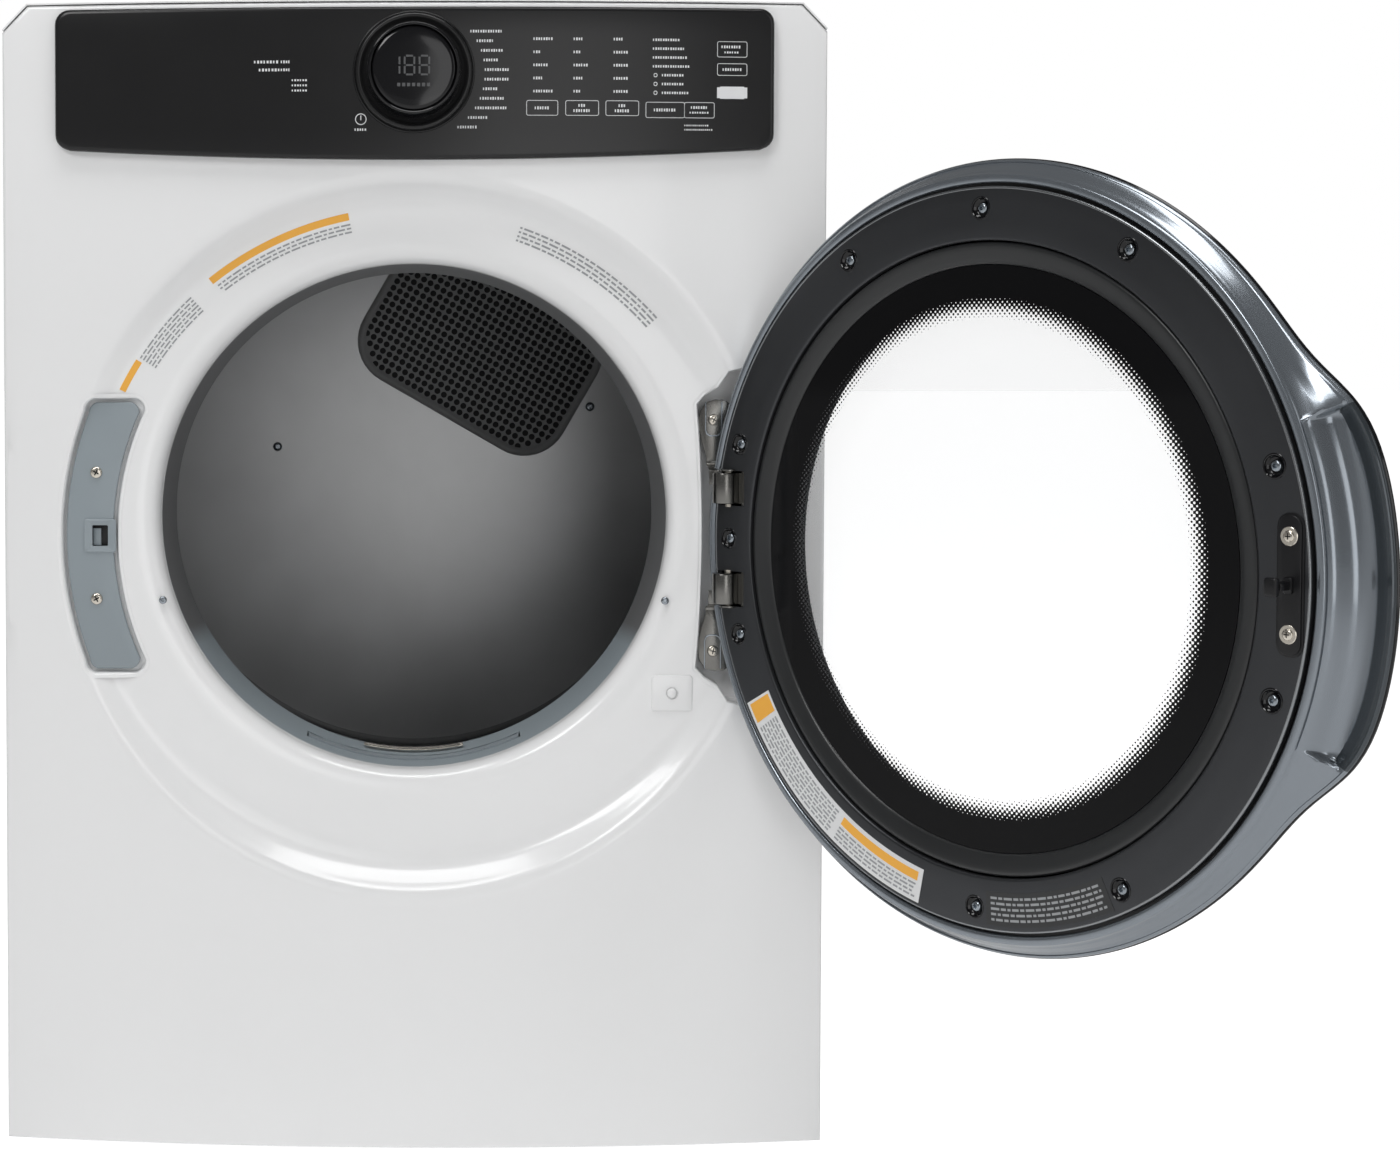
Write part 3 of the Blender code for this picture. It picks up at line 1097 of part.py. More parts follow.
def make_lint_path():
    front, back = SCREEN_Y - 0.014, SCREEN_Y + 0.014
    duct = prism("lint_duct", SLATE, lint_duct_outline(0, 0.300), front, back)
    boolean(duct, prism("lint_hollow", WHITE, lint_duct_outline(0.002, 0.320), front + 0.002, back - 0.002))
    eye = Vector((MOTOR_X, 0, MOTOR_Z))
    reach = BLOWER_Y - WHEEL_WIDTH / 2 - 0.012 - 2 * GAP
    boolean(duct, rod("lint_collar", WHITE, eye + Vector((0, back - 0.001, 0)), eye + Vector((0, reach, 0)), 0.050,
                      segments=28), 'UNION')
    boolean(duct, rod("lint_eye", WHITE, eye + Vector((0, back - 0.010, 0)), eye + Vector((0, reach + 0.01, 0)), 0.047,
                      segments=28))
    half = SCREEN_WIDTH / 2
    lip = MOUTH_RADIUS + SHEET - 0.0045
    steps = 10
    xs = [half * (2 * i / steps - 1) for i in range(steps + 1)]
    top = [(x, MOUTH_Z - math.sqrt(lip ** 2 - x ** 2)) for x in reversed(xs)]
    low = MOUTH_Z - lip - SCREEN_HEIGHT
    screen = prism("lint_screen", MESH, [(-half, low), (half, low)] + top, SCREEN_Y - SCREEN_WALL / 2,
                   SCREEN_Y + SCREEN_WALL / 2)
    boolean(screen, box("screen_window", WHITE, (-half + 0.012, SCREEN_Y - 0.020, low + 0.012),
                        (half - 0.012, SCREEN_Y + 0.0030, MOUTH_Z - lip - 0.020)))


def make_sensor_bars():
    reach = FRONT_BULKHEAD_DEPTH - 0.005 - MOUTH_DEPTH - 0.006
    flat = math.cos(math.pi / DRUM_SEGMENTS)
    for name, depth in (("front", 0.0900), ("rear", 0.0985)):
        back = depth + SENSOR_WIDTH
        wall = COLLAR_RADIUS - SHEET - COLLAR_TAPER * (back - MOUTH_DEPTH - 0.006) / reach
        radius = wall * flat - GAP
        turns = [math.radians(-90 + SENSOR_SPAN * (i / 8 - 0.5)) for i in range(9)]
        arcs = [[(r * math.cos(t), r * math.sin(t)) for t in turns] for r in (radius, radius - 0.0015)]
        prism(f"moisture_sensor_{name}", STEEL, arcs[0] + arcs[1][::-1], 0, SENSOR_WIDTH,
              location=(0, FRONT + depth, MOUTH_Z + 0.001))


def make_heater():
    front = FRONT + REAR_BULKHEAD_DEPTH + SHEET + GAP
    low, high = Vector((-0.060, front, 0.215)), Vector((0.205, front + HEATER_DEPTH, 0.790))
    wall = Vector((SHEET, SHEET, SHEET))
    housing = box("heater_housing", GALVANISED, low, high)
    boolean(housing, box("heater_hollow", WHITE, low + wall - Vector((0, 0.02, 0)), high - wall))
    boolean(housing, box("heater_intake", WHITE, (0.0, front + 0.006, 0.20), (0.15, front + HEATER_DEPTH - 0.006, 0.23)))
    places = []
    for i in range(COIL_RUNS):
        ends = (-0.030, 0.175) if i % 2 else (0.175, -0.030)
        places += [Vector((x, front + HEATER_DEPTH / 2, 0.270 + 0.045 * i)) for x in ends]
    rings = swept(places, [COIL_RADIUS] * len(places), Vector((0, 1, 0)), 8)
    finish("heater_coil", skin(rings, "heater_coil", caps=(0, -1)), STEEL)


def make_small_fittings():
    depth = FRONT + FRONT_BULKHEAD_DEPTH + SHEET + GAP
    rod("drum_light_lens", CLEAR, (0, depth, LIGHT_Z), (0, depth + 0.008, LIGHT_Z), 0.020, tip_radius=0.014)
    box("terminal_block", BLACK, (-0.280, REAR - 0.026, 0.790), (-0.220, REAR - SHEET - 0.001, 0.840))


make_front_panel()
make_side_panels()
make_top_panel()
make_rear_panel()
make_base_pan()
make_feet()
make_console()
make_strike()
make_door_switch()
make_hinge()
make_door()
make_door_hinge_leaf()
make_latch()
make_front_bulkhead()
make_rear_bulkhead()
make_drum()
make_rollers()
make_motor()
make_blower()
make_belt()
make_idler()
make_exhaust_duct()
make_lint_path()
make_sensor_bars()
make_heater()
make_small_fittings()
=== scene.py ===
"""A front-loading clothes dryer with its door open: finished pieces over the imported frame."""
import json
import math

import bpy
from mathutils import Matrix, Vector


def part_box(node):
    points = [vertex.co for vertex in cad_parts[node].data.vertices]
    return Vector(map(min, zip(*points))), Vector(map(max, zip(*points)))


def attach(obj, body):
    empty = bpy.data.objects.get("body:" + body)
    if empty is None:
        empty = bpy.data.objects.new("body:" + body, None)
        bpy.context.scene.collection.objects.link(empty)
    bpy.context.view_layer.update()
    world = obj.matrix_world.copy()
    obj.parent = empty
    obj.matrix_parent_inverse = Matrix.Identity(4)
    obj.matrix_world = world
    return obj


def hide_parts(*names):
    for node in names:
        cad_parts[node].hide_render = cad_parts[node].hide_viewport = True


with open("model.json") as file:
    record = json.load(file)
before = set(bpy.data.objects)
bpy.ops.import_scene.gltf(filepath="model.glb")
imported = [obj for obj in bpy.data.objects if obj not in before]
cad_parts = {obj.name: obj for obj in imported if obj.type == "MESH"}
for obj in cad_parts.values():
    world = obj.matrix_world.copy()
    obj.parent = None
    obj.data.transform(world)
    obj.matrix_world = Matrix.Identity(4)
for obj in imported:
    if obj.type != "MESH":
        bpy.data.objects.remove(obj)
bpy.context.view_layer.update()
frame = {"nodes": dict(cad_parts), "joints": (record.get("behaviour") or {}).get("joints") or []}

# ---------------------------------------------------------------- sizes taken from the frame
JOINTS = {joint["name"]: joint for joint in frame["joints"]}
HINGE = Vector(JOINTS["door_swing"]["pos_m"])
DOOR_REST = math.radians(-JOINTS["door_swing"]["range_deg"][0])
PANEL_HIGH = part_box("front_panel")[1]
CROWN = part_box("top_panel")[0][1]                # front surface at the middle
HALF_WIDTH = PANEL_HIGH[0]
PANEL_TOP = PANEL_HIGH[2]
RING_Z = HINGE.z
DIAL_Z = JOINTS["selector_turn"]["pos_m"][2]
DRUM_Z = JOINTS["drum_spin"]["pos_m"][2]
FASCIA_LOW, FASCIA_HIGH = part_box("console_fascia")
FACE = FASCIA_LOW[1]                             # front of the console at the middle
SCREEN_LOW, SCREEN_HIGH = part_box("lint_screen")
DRUM_LOW, DRUM_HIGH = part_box("drum")
GRILLE_LOW, GRILLE_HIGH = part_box("inlet_grille")

# ---------------------------------------------------------------- sizes of the finished surfaces
BOW = 0.0256                                     # how far the panel's sides lie behind its crown
CHAMFER = 0.0217                                 # top corners of the cabinet
FIELD = 0.322                                    # radius where the ring's recess begins
FLOOR = 0.024                                    # depth of the recess behind the crown
RING_SINK = [(0.3110, 0.0), (0.3060, 0.0), (0.3011, 0.02), (0.2947, 0.14), (0.2882, 0.44), (0.2783, 0.84),
             (0.2690, 0.965), (0.2600, 1.0)]     # share of that depth, against the radius
MOUTH_Z = RING_Z + 0.0148
MOUTH = 0.2129                                   # radius of the opening
HINGE_POCKET = 0.0475                            # depth of the pocket behind the hinge
STRIKE_POCKET = 0.0300
STRIKE = (0.2515, 0.2905, 0.112)                 # inner and outer radius and half height of the strike plate
STRIKE_FACE = CROWN + 0.0237                     # where the strike plate's screws sit
LATCH = 0.2625                                   # the catch hole, from the middle
SWITCH = (0.216, CROWN + FLOOR, 0.379)           # the door switch in the recess
DOOR_CENTRE = -HINGE.x                           # in the closed door's own frame
RIM = 0.2958                                     # outer radius of the door, away from the grip
POCKET_END = 22.4                                # half the angle that the finger pocket takes
SCREW_CIRCLE = 0.260                             # radius on which the inner plate's screws sit
LABEL_LIFT, TYPE_LIFT = 0.00025, 0.00045         # labels and the lettering on them, off their ground
PRINT_LIFT = 0.00012
SHEET = 0.0011                                   # wall of the pressed panel and the drum


# ---------------------------------------------------------------- small helpers
def alone(piece):
    """Select one object and nothing else."""
    if bpy.context.object and bpy.context.object.mode != 'OBJECT':
        bpy.ops.object.mode_set(mode='OBJECT')
    bpy.ops.object.select_all(action='DESELECT')
    piece.select_set(True)
    bpy.context.view_layer.objects.active = piece


def settle(piece):
    """Put the place of a piece into its mesh."""
    alone(piece)
    bpy.ops.object.transform_apply(location=True, rotation=True, scale=True)


def named(name):
    piece = bpy.context.object
    piece.name = piece.data.name = name
    return piece


def apply_modifiers(piece):
    alone(piece)
    for modifier in list(piece.modifiers):
        bpy.ops.object.modifier_apply(modifier=modifier.name)


def soften(piece, width, segments=2, angle=35):
    bevel = piece.modifiers.new("soft_edge", 'BEVEL')
    bevel.width = width
    bevel.segments = segments
    bevel.limit_method = 'ANGLE'
    bevel.angle_limit = math.radians(angle)
    apply_modifiers(piece)


def shade(piece, angle=38):
    alone(piece)
    bpy.ops.object.shade_smooth_by_angle(angle=math.radians(angle))


def done(piece, body, finish, replaces=(), smooth=38):
    if smooth:
        shade(piece, smooth)
    piece.data.materials.clear()
    piece.data.materials.append(finish)
    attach(piece, body)
    if replaces:
        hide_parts(*replaces)
    return piece


def in_edit_mode(piece, *steps):
    """Select the whole mesh of a piece and run these operators on it."""
    alone(piece)
    bpy.ops.object.mode_set(mode='EDIT')
    bpy.ops.mesh.select_all(action='SELECT')
    for step in steps:
        step()
    bpy.ops.object.mode_set(mode='OBJECT')


def thicken(piece, wall, offset):
    """Give a sheet its wall; offset -1 grows it behind the faces, 1 in front and 0 to both sides."""
    solid = piece.modifiers.new("wall", 'SOLIDIFY')
    solid.thickness = wall
    solid.offset = offset
    apply_modifiers(piece)


def loft(name, rings, cap_last=False, cap_first=False):
    """A grid drawn through closed rings of points."""
    columns = len(rings[0])
    bpy.ops.object.select_all(action='DESELECT')
    bpy.ops.mesh.primitive_grid_add(x_subdivisions=columns, y_subdivisions=len(rings) - 1, size=1.0)
    piece = named(name)
    for vertex in piece.data.vertices:
        row, column = divmod(vertex.index, columns + 1)
        vertex.co = rings[row][column % columns]
    in_edit_mode(piece, lambda: bpy.ops.mesh.remove_doubles(threshold=0.00001))
    for cap, row in ((cap_first, 0), (cap_last, -1)):
        if cap:
            close_ring(piece, rings[row])
    if cap_first and cap_last:
        face_outwards(piece)
    return piece


def close_ring(piece, ring):
    """Fill the opening whose edge is this ring."""
    alone(piece)
    corners = {tuple(round(c, 5) for c in point) for point in ring}
    bpy.ops.object.mode_set(mode='EDIT')
    bpy.ops.mesh.select_mode(type='VERT')
    bpy.ops.mesh.select_all(action='DESELECT')
    bpy.ops.object.mode_set(mode='OBJECT')
    for vertex in piece.data.vertices:
        vertex.select = tuple(round(c, 5) for c in vertex.co) in corners
    bpy.ops.object.mode_set(mode='EDIT')
    bpy.ops.mesh.edge_face_add()
    bpy.ops.object.mode_set(mode='OBJECT')


def face_outwards(piece):
    in_edit_mode(piece, lambda: bpy.ops.mesh.normals_make_consistent(inside=False))


def face_along(piece, way):
    """Turn an open sheet so that its largest face looks forward (-1) or back (1)."""
    face_outwards(piece)
    if max(piece.data.polygons, key=lambda face: face.area).normal.y * way < 0:
        in_edit_mode(piece, bpy.ops.mesh.flip_normals)


def hoop(radius, y, x, z, count):
    """A ring of points about the Y axis through (x, z)."""
    return [Vector((x + radius * math.cos(turn), y, z + radius * math.sin(turn)))
            for turn in (2 * math.pi * i / count for i in range(count))]


def upright_hoop(radius, x, y, z, count):
    """A ring of points about the Z axis through (x, y)."""
    return [Vector((x + radius * math.cos(turn), y + radius * math.sin(turn), z))
            for turn in (2 * math.pi * i / count for i in range(count))]


def turned(name, profile, centre, segments=128):
    """Spin a closed profile of (radius, y) about the Y axis through a centre."""
    piece = loft(name, [hoop(radius, centre[1] + y, centre[0], centre[2], segments)
                        for radius, y in list(profile) + [profile[0]]])
    face_outwards(piece)
    return piece


def drill(name, radius, half_length, centre, segments):
    return turned(name, [(0.0, -half_length), (radius, -half_length), (radius, half_length), (0.0, half_length)],
                  centre, segments)


def plate(name, outline, front, back, bevel=0.0, segments=2):
    """A flat outline of (x, z) points with a thickness, its front edge rounded."""
    bpy.ops.object.select_all(action='DESELECT')
    bpy.ops.mesh.primitive_circle_add(vertices=len(outline), fill_type='NGON')
    piece = named(name)
    for vertex, (x, z) in zip(piece.data.vertices, outline):
        vertex.co = (x, back, z)
    in_edit_mode(piece, lambda: bpy.ops.mesh.extrude_region_move(
        TRANSFORM_OT_translate={"value": (0, front - back, 0)}))
    face_outwards(piece)
    if bevel:
        soften(piece, bevel, segments, 50)
    return piece


def block(name, low, high, bevel=0.0, segments=2):
    bpy.ops.object.select_all(action='DESELECT')
    centre = [(a + b) / 2 for a, b in zip(low, high)]
    bpy.ops.mesh.primitive_cube_add(size=1.0, location=centre)
    piece = named(name)
    piece.scale = [abs(b - a) for a, b in zip(low, high)]
    settle(piece)
    if bevel:
        soften(piece, bevel, segments)
    return piece


def cut(piece, tool):
    boolean = piece.modifiers.new("cut", 'BOOLEAN')
    boolean.operation = 'DIFFERENCE'
    boolean.solver = 'EXACT'
    boolean.object = tool
    apply_modifiers(piece)
    bpy.data.objects.remove(tool)


def joined(name, pieces):
    """Several meshes made into one piece."""
    bpy.ops.object.select_all(action='DESELECT')
    for piece in pieces:
        piece.select_set(True)
    bpy.context.view_layer.objects.active = pieces[0]
    bpy.ops.object.join()
    return named(name)


def copy_at(piece, matrix):
    twin = piece.copy()
    twin.data = piece.data.copy()
    bpy.context.scene.collection.objects.link(twin)
    twin.data.transform(matrix)
    return twin


def swung(piece):
    """From the closed door's own frame to its place on the open door."""
    piece.data.transform(Matrix.Translation(HINGE) @ Matrix.Rotation(DOOR_REST, 4, 'Z'))
    return piece


def bend(x, z, radius, start, sweep=90, steps=6):
    """Points round a corner whose centre is (x, z), from a starting angle in degrees."""
    return [(x + radius * math.cos(turn), z + radius * math.sin(turn))
            for turn in (math.radians(start + sweep * i / steps) for i in range(steps + 1))]


def rounded_box(half_x, half_z, corner, centre=(0, 0), steps=6):
    outline = []
    for side_x, side_z, start in ((1, 1, 0), (-1, 1, 90), (-1, -1, 180), (1, -1, 270)):
        outline += bend(centre[0] + side_x * (half_x - corner), centre[1] + side_z * (half_z - corner), corner,
                        start, steps=steps)
    return outline


def smooth_step(x):
    x = min(max(x, 0.0), 1.0)
    return x * x * (3 - 2 * x)


def between(table, x):
    """A smooth curve through a falling table of (x, value)."""
    if x >= table[0][0]:
        return table[0][1]
    for i in range(len(table) - 1):
        x1, y1 = table[i]
        x2, y2 = table[i + 1]
        if x >= x2:
            before = table[i - 1] if i else table[i]
            after = table[i + 2] if i + 2 < len(table) else table[i + 1]
            m1 = (y2 - before[1]) / (x2 - before[0])
            m2 = (after[1] - y1) / (after[0] - x1)
            h = x2 - x1
            t = (x - x1) / h
            return ((2 * t ** 3 - 3 * t ** 2 + 1) * y1 + (t ** 3 - 2 * t ** 2 + t) * h * m1
                    + (-2 * t ** 3 + 3 * t ** 2) * y2 + (t ** 3 - t ** 2) * h * m2)
    return table[-1][1]


# ---------------------------------------------------------------- finishes
def finish(name, colour, roughness, metallic=0.0, coat=0.0, mottle=0.0, grain=0.0, grain_size=0.001, sheen=0.0,
           specular=0.5):
    """A surface with slight variation in tone and gloss and a fine grain."""
    look = bpy.data.materials.new(name)
    look.use_nodes = True
    look.diffuse_color = (*colour, 1)
    tree = look.node_tree
    shader = tree.nodes["Principled BSDF"]
    shader.inputs["Base Color"].default_value = (*colour, 1)
    shader.inputs["Metallic"].default_value = metallic
    shader.inputs["Roughness"].default_value = roughness
    shader.inputs["Coat Weight"].default_value = coat
    shader.inputs["Coat Roughness"].default_value = 0.04
    shader.inputs["Specular IOR Level"].default_value = specular
    if sheen:
        shader.inputs["Sheen Weight"].default_value = sheen
    place = tree.nodes.new("ShaderNodeTexCoord").outputs["Object"]
    cloud = tree.nodes.new("ShaderNodeTexNoise")
    cloud.inputs["Scale"].default_value = 9.0
    cloud.inputs["Detail"].default_value = 3.0
    tree.links.new(place, cloud.inputs["Vector"])
    if mottle:
        tone = tree.nodes.new("ShaderNodeValToRGB")
        tone.color_ramp.elements[0].position = 0.30
        tone.color_ramp.elements[1].position = 0.70
        tone.color_ramp.elements[0].color = (*[c * (1 - mottle) for c in colour], 1)
        tone.color_ramp.elements[1].color = (*[min(1.0, c * (1 + mottle)) for c in colour], 1)
        tree.links.new(cloud.outputs["Fac"], tone.inputs["Fac"])
        tree.links.new(tone.outputs["Color"], shader.inputs["Base Color"])
    gloss = tree.nodes.new("ShaderNodeMapRange")
    gloss.inputs["To Min"].default_value = roughness * 0.88
    gloss.inputs["To Max"].default_value = min(1.0, roughness * 1.14)
    tree.links.new(cloud.outputs["Fac"], gloss.inputs["Value"])
    tree.links.new(gloss.outputs["Result"], shader.inputs["Roughness"])
    if grain:
        fine = tree.nodes.new("ShaderNodeTexNoise")
        fine.inputs["Scale"].default_value = 1.0 / grain_size
        fine.inputs["Detail"].default_value = 2.0
        tree.links.new(place, fine.inputs["Vector"])
        bump = tree.nodes.new("ShaderNodeBump")
        bump.inputs["Strength"].default_value = grain
        bump.inputs["Distance"].default_value = grain_size
        tree.links.new(fine.outputs["Fac"], bump.inputs["Height"])
        tree.links.new(bump.outputs["Normal"], shader.inputs["Normal"])
    return look


ENAMEL = finish("white enamel", (0.84, 0.843, 0.846), 0.22, coat=0.25, mottle=0.005)
GRAPHITE = finish("graphite console", (0.010, 0.010, 0.0105), 0.26, mottle=0.04, specular=0.35)
GLOSS_BLACK = finish("gloss black", (0.005, 0.005, 0.006), 0.10, coat=0.15, mottle=0.04, specular=0.3)
PLATE_GREY = finish("satin charcoal", (0.050, 0.052, 0.056), 0.30, metallic=0.70, mottle=0.05, grain=0.05,
                    grain_size=0.0006)
BEZEL_GREY = finish("bezel charcoal", (0.018, 0.019, 0.020), 0.30, mottle=0.05, grain=0.04, grain_size=0.0006)
BLUE_GREY = finish("metallic blue grey", (0.225, 0.250, 0.278), 0.20, metallic=0.75, coat=0.5, mottle=0.02)
# Darker copy of the metallic blue grey: painted shade on the finger pocket's outer wall.
BLUE_PAINTED_SHADE = finish("shaded blue grey", (0.052, 0.062, 0.071), 0.24, metallic=0.6, coat=0.4, mottle=0.03)
SLATE = finish("moulded slate", (0.265, 0.305, 0.330), 0.38, mottle=0.03, grain=0.10, grain_size=0.0006)
NICKEL = finish("nickel", (0.62, 0.58, 0.51), 0.24, metallic=1.0, mottle=0.10, grain=0.06, grain_size=0.0005)
HINGE_STEEL = finish("hinge steel", (0.200, 0.196, 0.185), 0.24, metallic=1.0, mottle=0.20, grain=0.10,
                     grain_size=0.0005)
SCREW_STEEL = finish("dark zinc", (0.30, 0.33, 0.36), 0.25, metallic=1.0, mottle=0.10, grain=0.05,
                     grain_size=0.0004)
ZINC = finish("galvanised sheet", (0.52, 0.525, 0.53), 0.36, metallic=0.75, mottle=0.07, grain=0.03,
              grain_size=0.002)
DRUM_ZINC = finish("drum sheet", (0.215, 0.217, 0.220), 0.45, metallic=0.30, mottle=0.05, grain=0.03,
                   grain_size=0.002)
GRILLE_PAINT = finish("grille paint", (0.300, 0.303, 0.307), 0.50, mottle=0.08, grain=0.05)
# Near-black finish for the grille's holes: painted shade inside them.
HOLE_PAINTED_SHADE = finish("hole shade", (0.022, 0.022, 0.023), 0.60, mottle=0.10, specular=0.2)
# Metal much lighter than the plate's: a painted highlight along the inner plate's rim.
EDGE_PAINTED_HIGHLIGHT = finish("polished edge", (0.26, 0.27, 0.28), 0.26, metallic=0.9, mottle=0.04)
RUBBER = finish("black rubber", (0.018, 0.018, 0.018), 0.62, mottle=0.06, grain=0.15, grain_size=0.001)
FELT = finish("grey felt", (0.26, 0.26, 0.27), 0.95, mottle=0.10, grain=0.60, grain_size=0.0012, sheen=0.3)
BLACK_PLASTIC = finish("moulded black", (0.006, 0.006, 0.007), 0.34, mottle=0.06, grain=0.08, grain_size=0.0005,
                       specular=0.35)
DARK_PAINT = finish("dark machine paint", (0.075, 0.078, 0.082), 0.45, metallic=0.3, mottle=0.08, grain=0.08)
PRINT = finish("light print", (0.72, 0.73, 0.74), 0.55, mottle=0.03)
DIM_PRINT = finish("dim print", (0.075, 0.077, 0.080), 0.45, mottle=0.03)
LABEL_WHITE = finish("label stock", (0.74, 0.745, 0.75), 0.48, mottle=0.02)
LABEL_ORANGE = finish("label orange", (0.88, 0.43, 0.055), 0.50, mottle=0.03)
LABEL_GREY = finish("label grey", (0.32, 0.33, 0.34), 0.55, mottle=0.03)
BOARD_GREEN = finish("circuit board", (0.02, 0.12, 0.05), 0.42, mottle=0.10)
MESH = finish("screen mesh", (0.30, 0.34, 0.37), 0.50, mottle=0.05, grain=0.5, grain_size=0.0008)


def glass(name, clear_radius, fade_radius, pitch, tint, clear_alpha):
    """Black printed glass whose print breaks into dots around a clear middle."""
    look = bpy.data.materials.new(name)
    look.use_nodes = True
    tree = look.node_tree
    new, link = tree.nodes.new, tree.links.new
    shader = tree.nodes["Principled BSDF"]
    shader.inputs["Roughness"].default_value = 0.05
    shader.inputs["Specular IOR Level"].default_value = 0.12
    place = new("ShaderNodeMapping")
    place.vector_type = 'TEXTURE'
    place.inputs["Location"].default_value = HINGE
    place.inputs["Rotation"].default_value = (0, 0, DOOR_REST)
    link(new("ShaderNodeTexCoord").outputs["Object"], place.inputs["Vector"])
    split = new("ShaderNodeSeparateXYZ")
    link(place.outputs["Vector"], split.inputs["Vector"])

    def sum_up(operation, first, second=None, third=None):
        node = new("ShaderNodeMath")
        node.operation = operation
        for socket, value in zip(node.inputs, (first, second, third)):
            if value is None:
                continue
            if isinstance(value, (int, float)):
                socket.default_value = value
            else:
                link(value, socket)
        return node.outputs[0]

    across = sum_up('SUBTRACT', split.outputs["X"], DOOR_CENTRE)
    rise = split.outputs["Z"]
    radius = sum_up('SQRT', sum_up('ADD', sum_up('MULTIPLY', across, across), sum_up('MULTIPLY', rise, rise)))
    turn = 2 * math.pi / pitch
    waves = sum_up('ADD', *[sum_up('COSINE', sum_up('MULTIPLY', sum_up(way, across, rise), turn / math.sqrt(2)))
                            for way in ('ADD', 'SUBTRACT')])
    level = new("ShaderNodeMapRange")
    level.inputs["From Min"].default_value = clear_radius
    level.inputs["From Max"].default_value = fade_radius
    level.inputs["To Min"].default_value = -2.02
    level.inputs["To Max"].default_value = 2.02
    link(radius, level.inputs["Value"])
    printed = sum_up('LESS_THAN', waves, level.outputs["Result"])
    alpha = new("ShaderNodeMapRange")
    alpha.inputs["To Min"].default_value = clear_alpha
    alpha.inputs["To Max"].default_value = 1.0
    link(printed, alpha.inputs["Value"])
    link(alpha.outputs["Result"], shader.inputs["Alpha"])
    colour = new("ShaderNodeMix")
    colour.data_type = 'RGBA'
    colour.inputs["A"].default_value = (*tint, 1)
    colour.inputs["B"].default_value = (0.0045, 0.0045, 0.005, 1)
    link(printed, colour.inputs["Factor"])
    link(colour.outputs["Result"], shader.inputs["Base Color"])
    return look


INNER_GLASS = glass("dotted door glass", 0.1785, 0.1945, 0.0031, (0.90, 0.92, 0.95), 0.05)
OUTER_GLASS = glass("outer door glass", 0.205, 0.2055, 0.0031, (0.86, 0.88, 0.91), 0.08)


def two_tone(name, upper, lower, low, high, roughness):
    """One tone below a height and another above it, with a short blend."""
    look = finish(name, upper, roughness)
    tree = look.node_tree
    split = tree.nodes.new("ShaderNodeSeparateXYZ")
    tree.links.new(tree.nodes.new("ShaderNodeTexCoord").outputs["Object"], split.inputs["Vector"])
    share = tree.nodes.new("ShaderNodeMapRange")
    share.inputs["From Min"].default_value, share.inputs["From Max"].default_value = low, high
    tree.links.new(split.outputs["Z"], share.inputs["Value"])
    mix = tree.nodes.new("ShaderNodeMix")
    mix.data_type = 'RGBA'
    mix.inputs["A"].default_value = (*lower, 1)
    mix.inputs["B"].default_value = (*upper, 1)
    tree.links.new(share.outputs["Result"], mix.inputs["Factor"])
    tree.links.new(mix.outputs["Result"], tree.nodes["Principled BSDF"].inputs["Base Color"])
    return look


COLLAR = two_tone("collar sheet", (0.150, 0.152, 0.155), (0.300, 0.345, 0.372), 0.415, 0.430, 0.42)


# ---------------------------------------------------------------- front panel
def bow_at(x):
    return BOW * (x / HALF_WIDTH) ** 2


def sink_at(radius):
    return between(RING_SINK, radius)


def depth_at(x, z):
    """Depth behind the crown of the panel's surface, outside the opening's rolled edge."""
    bow = bow_at(x)
    return bow + (FLOOR - bow) * sink_at(math.hypot(x, z - RING_Z))


def cabinet_edge(rays):
    """Where rays from the ring's centre meet the cabinet's outline, with its chamfered top corners."""
    half, top = HALF_WIDTH, PANEL_TOP
    corners = [(half, 0.0), (half, top - CHAMFER), (half - CHAMFER, top), (CHAMFER - half, top),
               (-half, top - CHAMFER), (-half, 0.0)]
    angles = [2 * math.pi * i / rays for i in range(rays)]
    for x, z in corners:
        wanted = math.atan2(z - RING_Z, x) % (2 * math.pi)
        nearest = min(range(rays), key=lambda i: abs(angles[i] - wanted))
        angles[nearest] = wanted
    points = []
    for angle in angles:
        ray = (math.cos(angle), math.sin(angle))
        reach = [half / abs(ray[0]) if abs(ray[0]) > 1e-9 else 9]
        if ray[1] > 0:
            reach.append((top - RING_Z) / ray[1])
            slope = abs(ray[0]) + ray[1]
            reach.append((half + top - CHAMFER - RING_Z) / slope)
        elif ray[1] < 0:
            reach.append(RING_Z / -ray[1])
        points.append((ray[0] * min(reach), ray[1] * min(reach)))
    return points


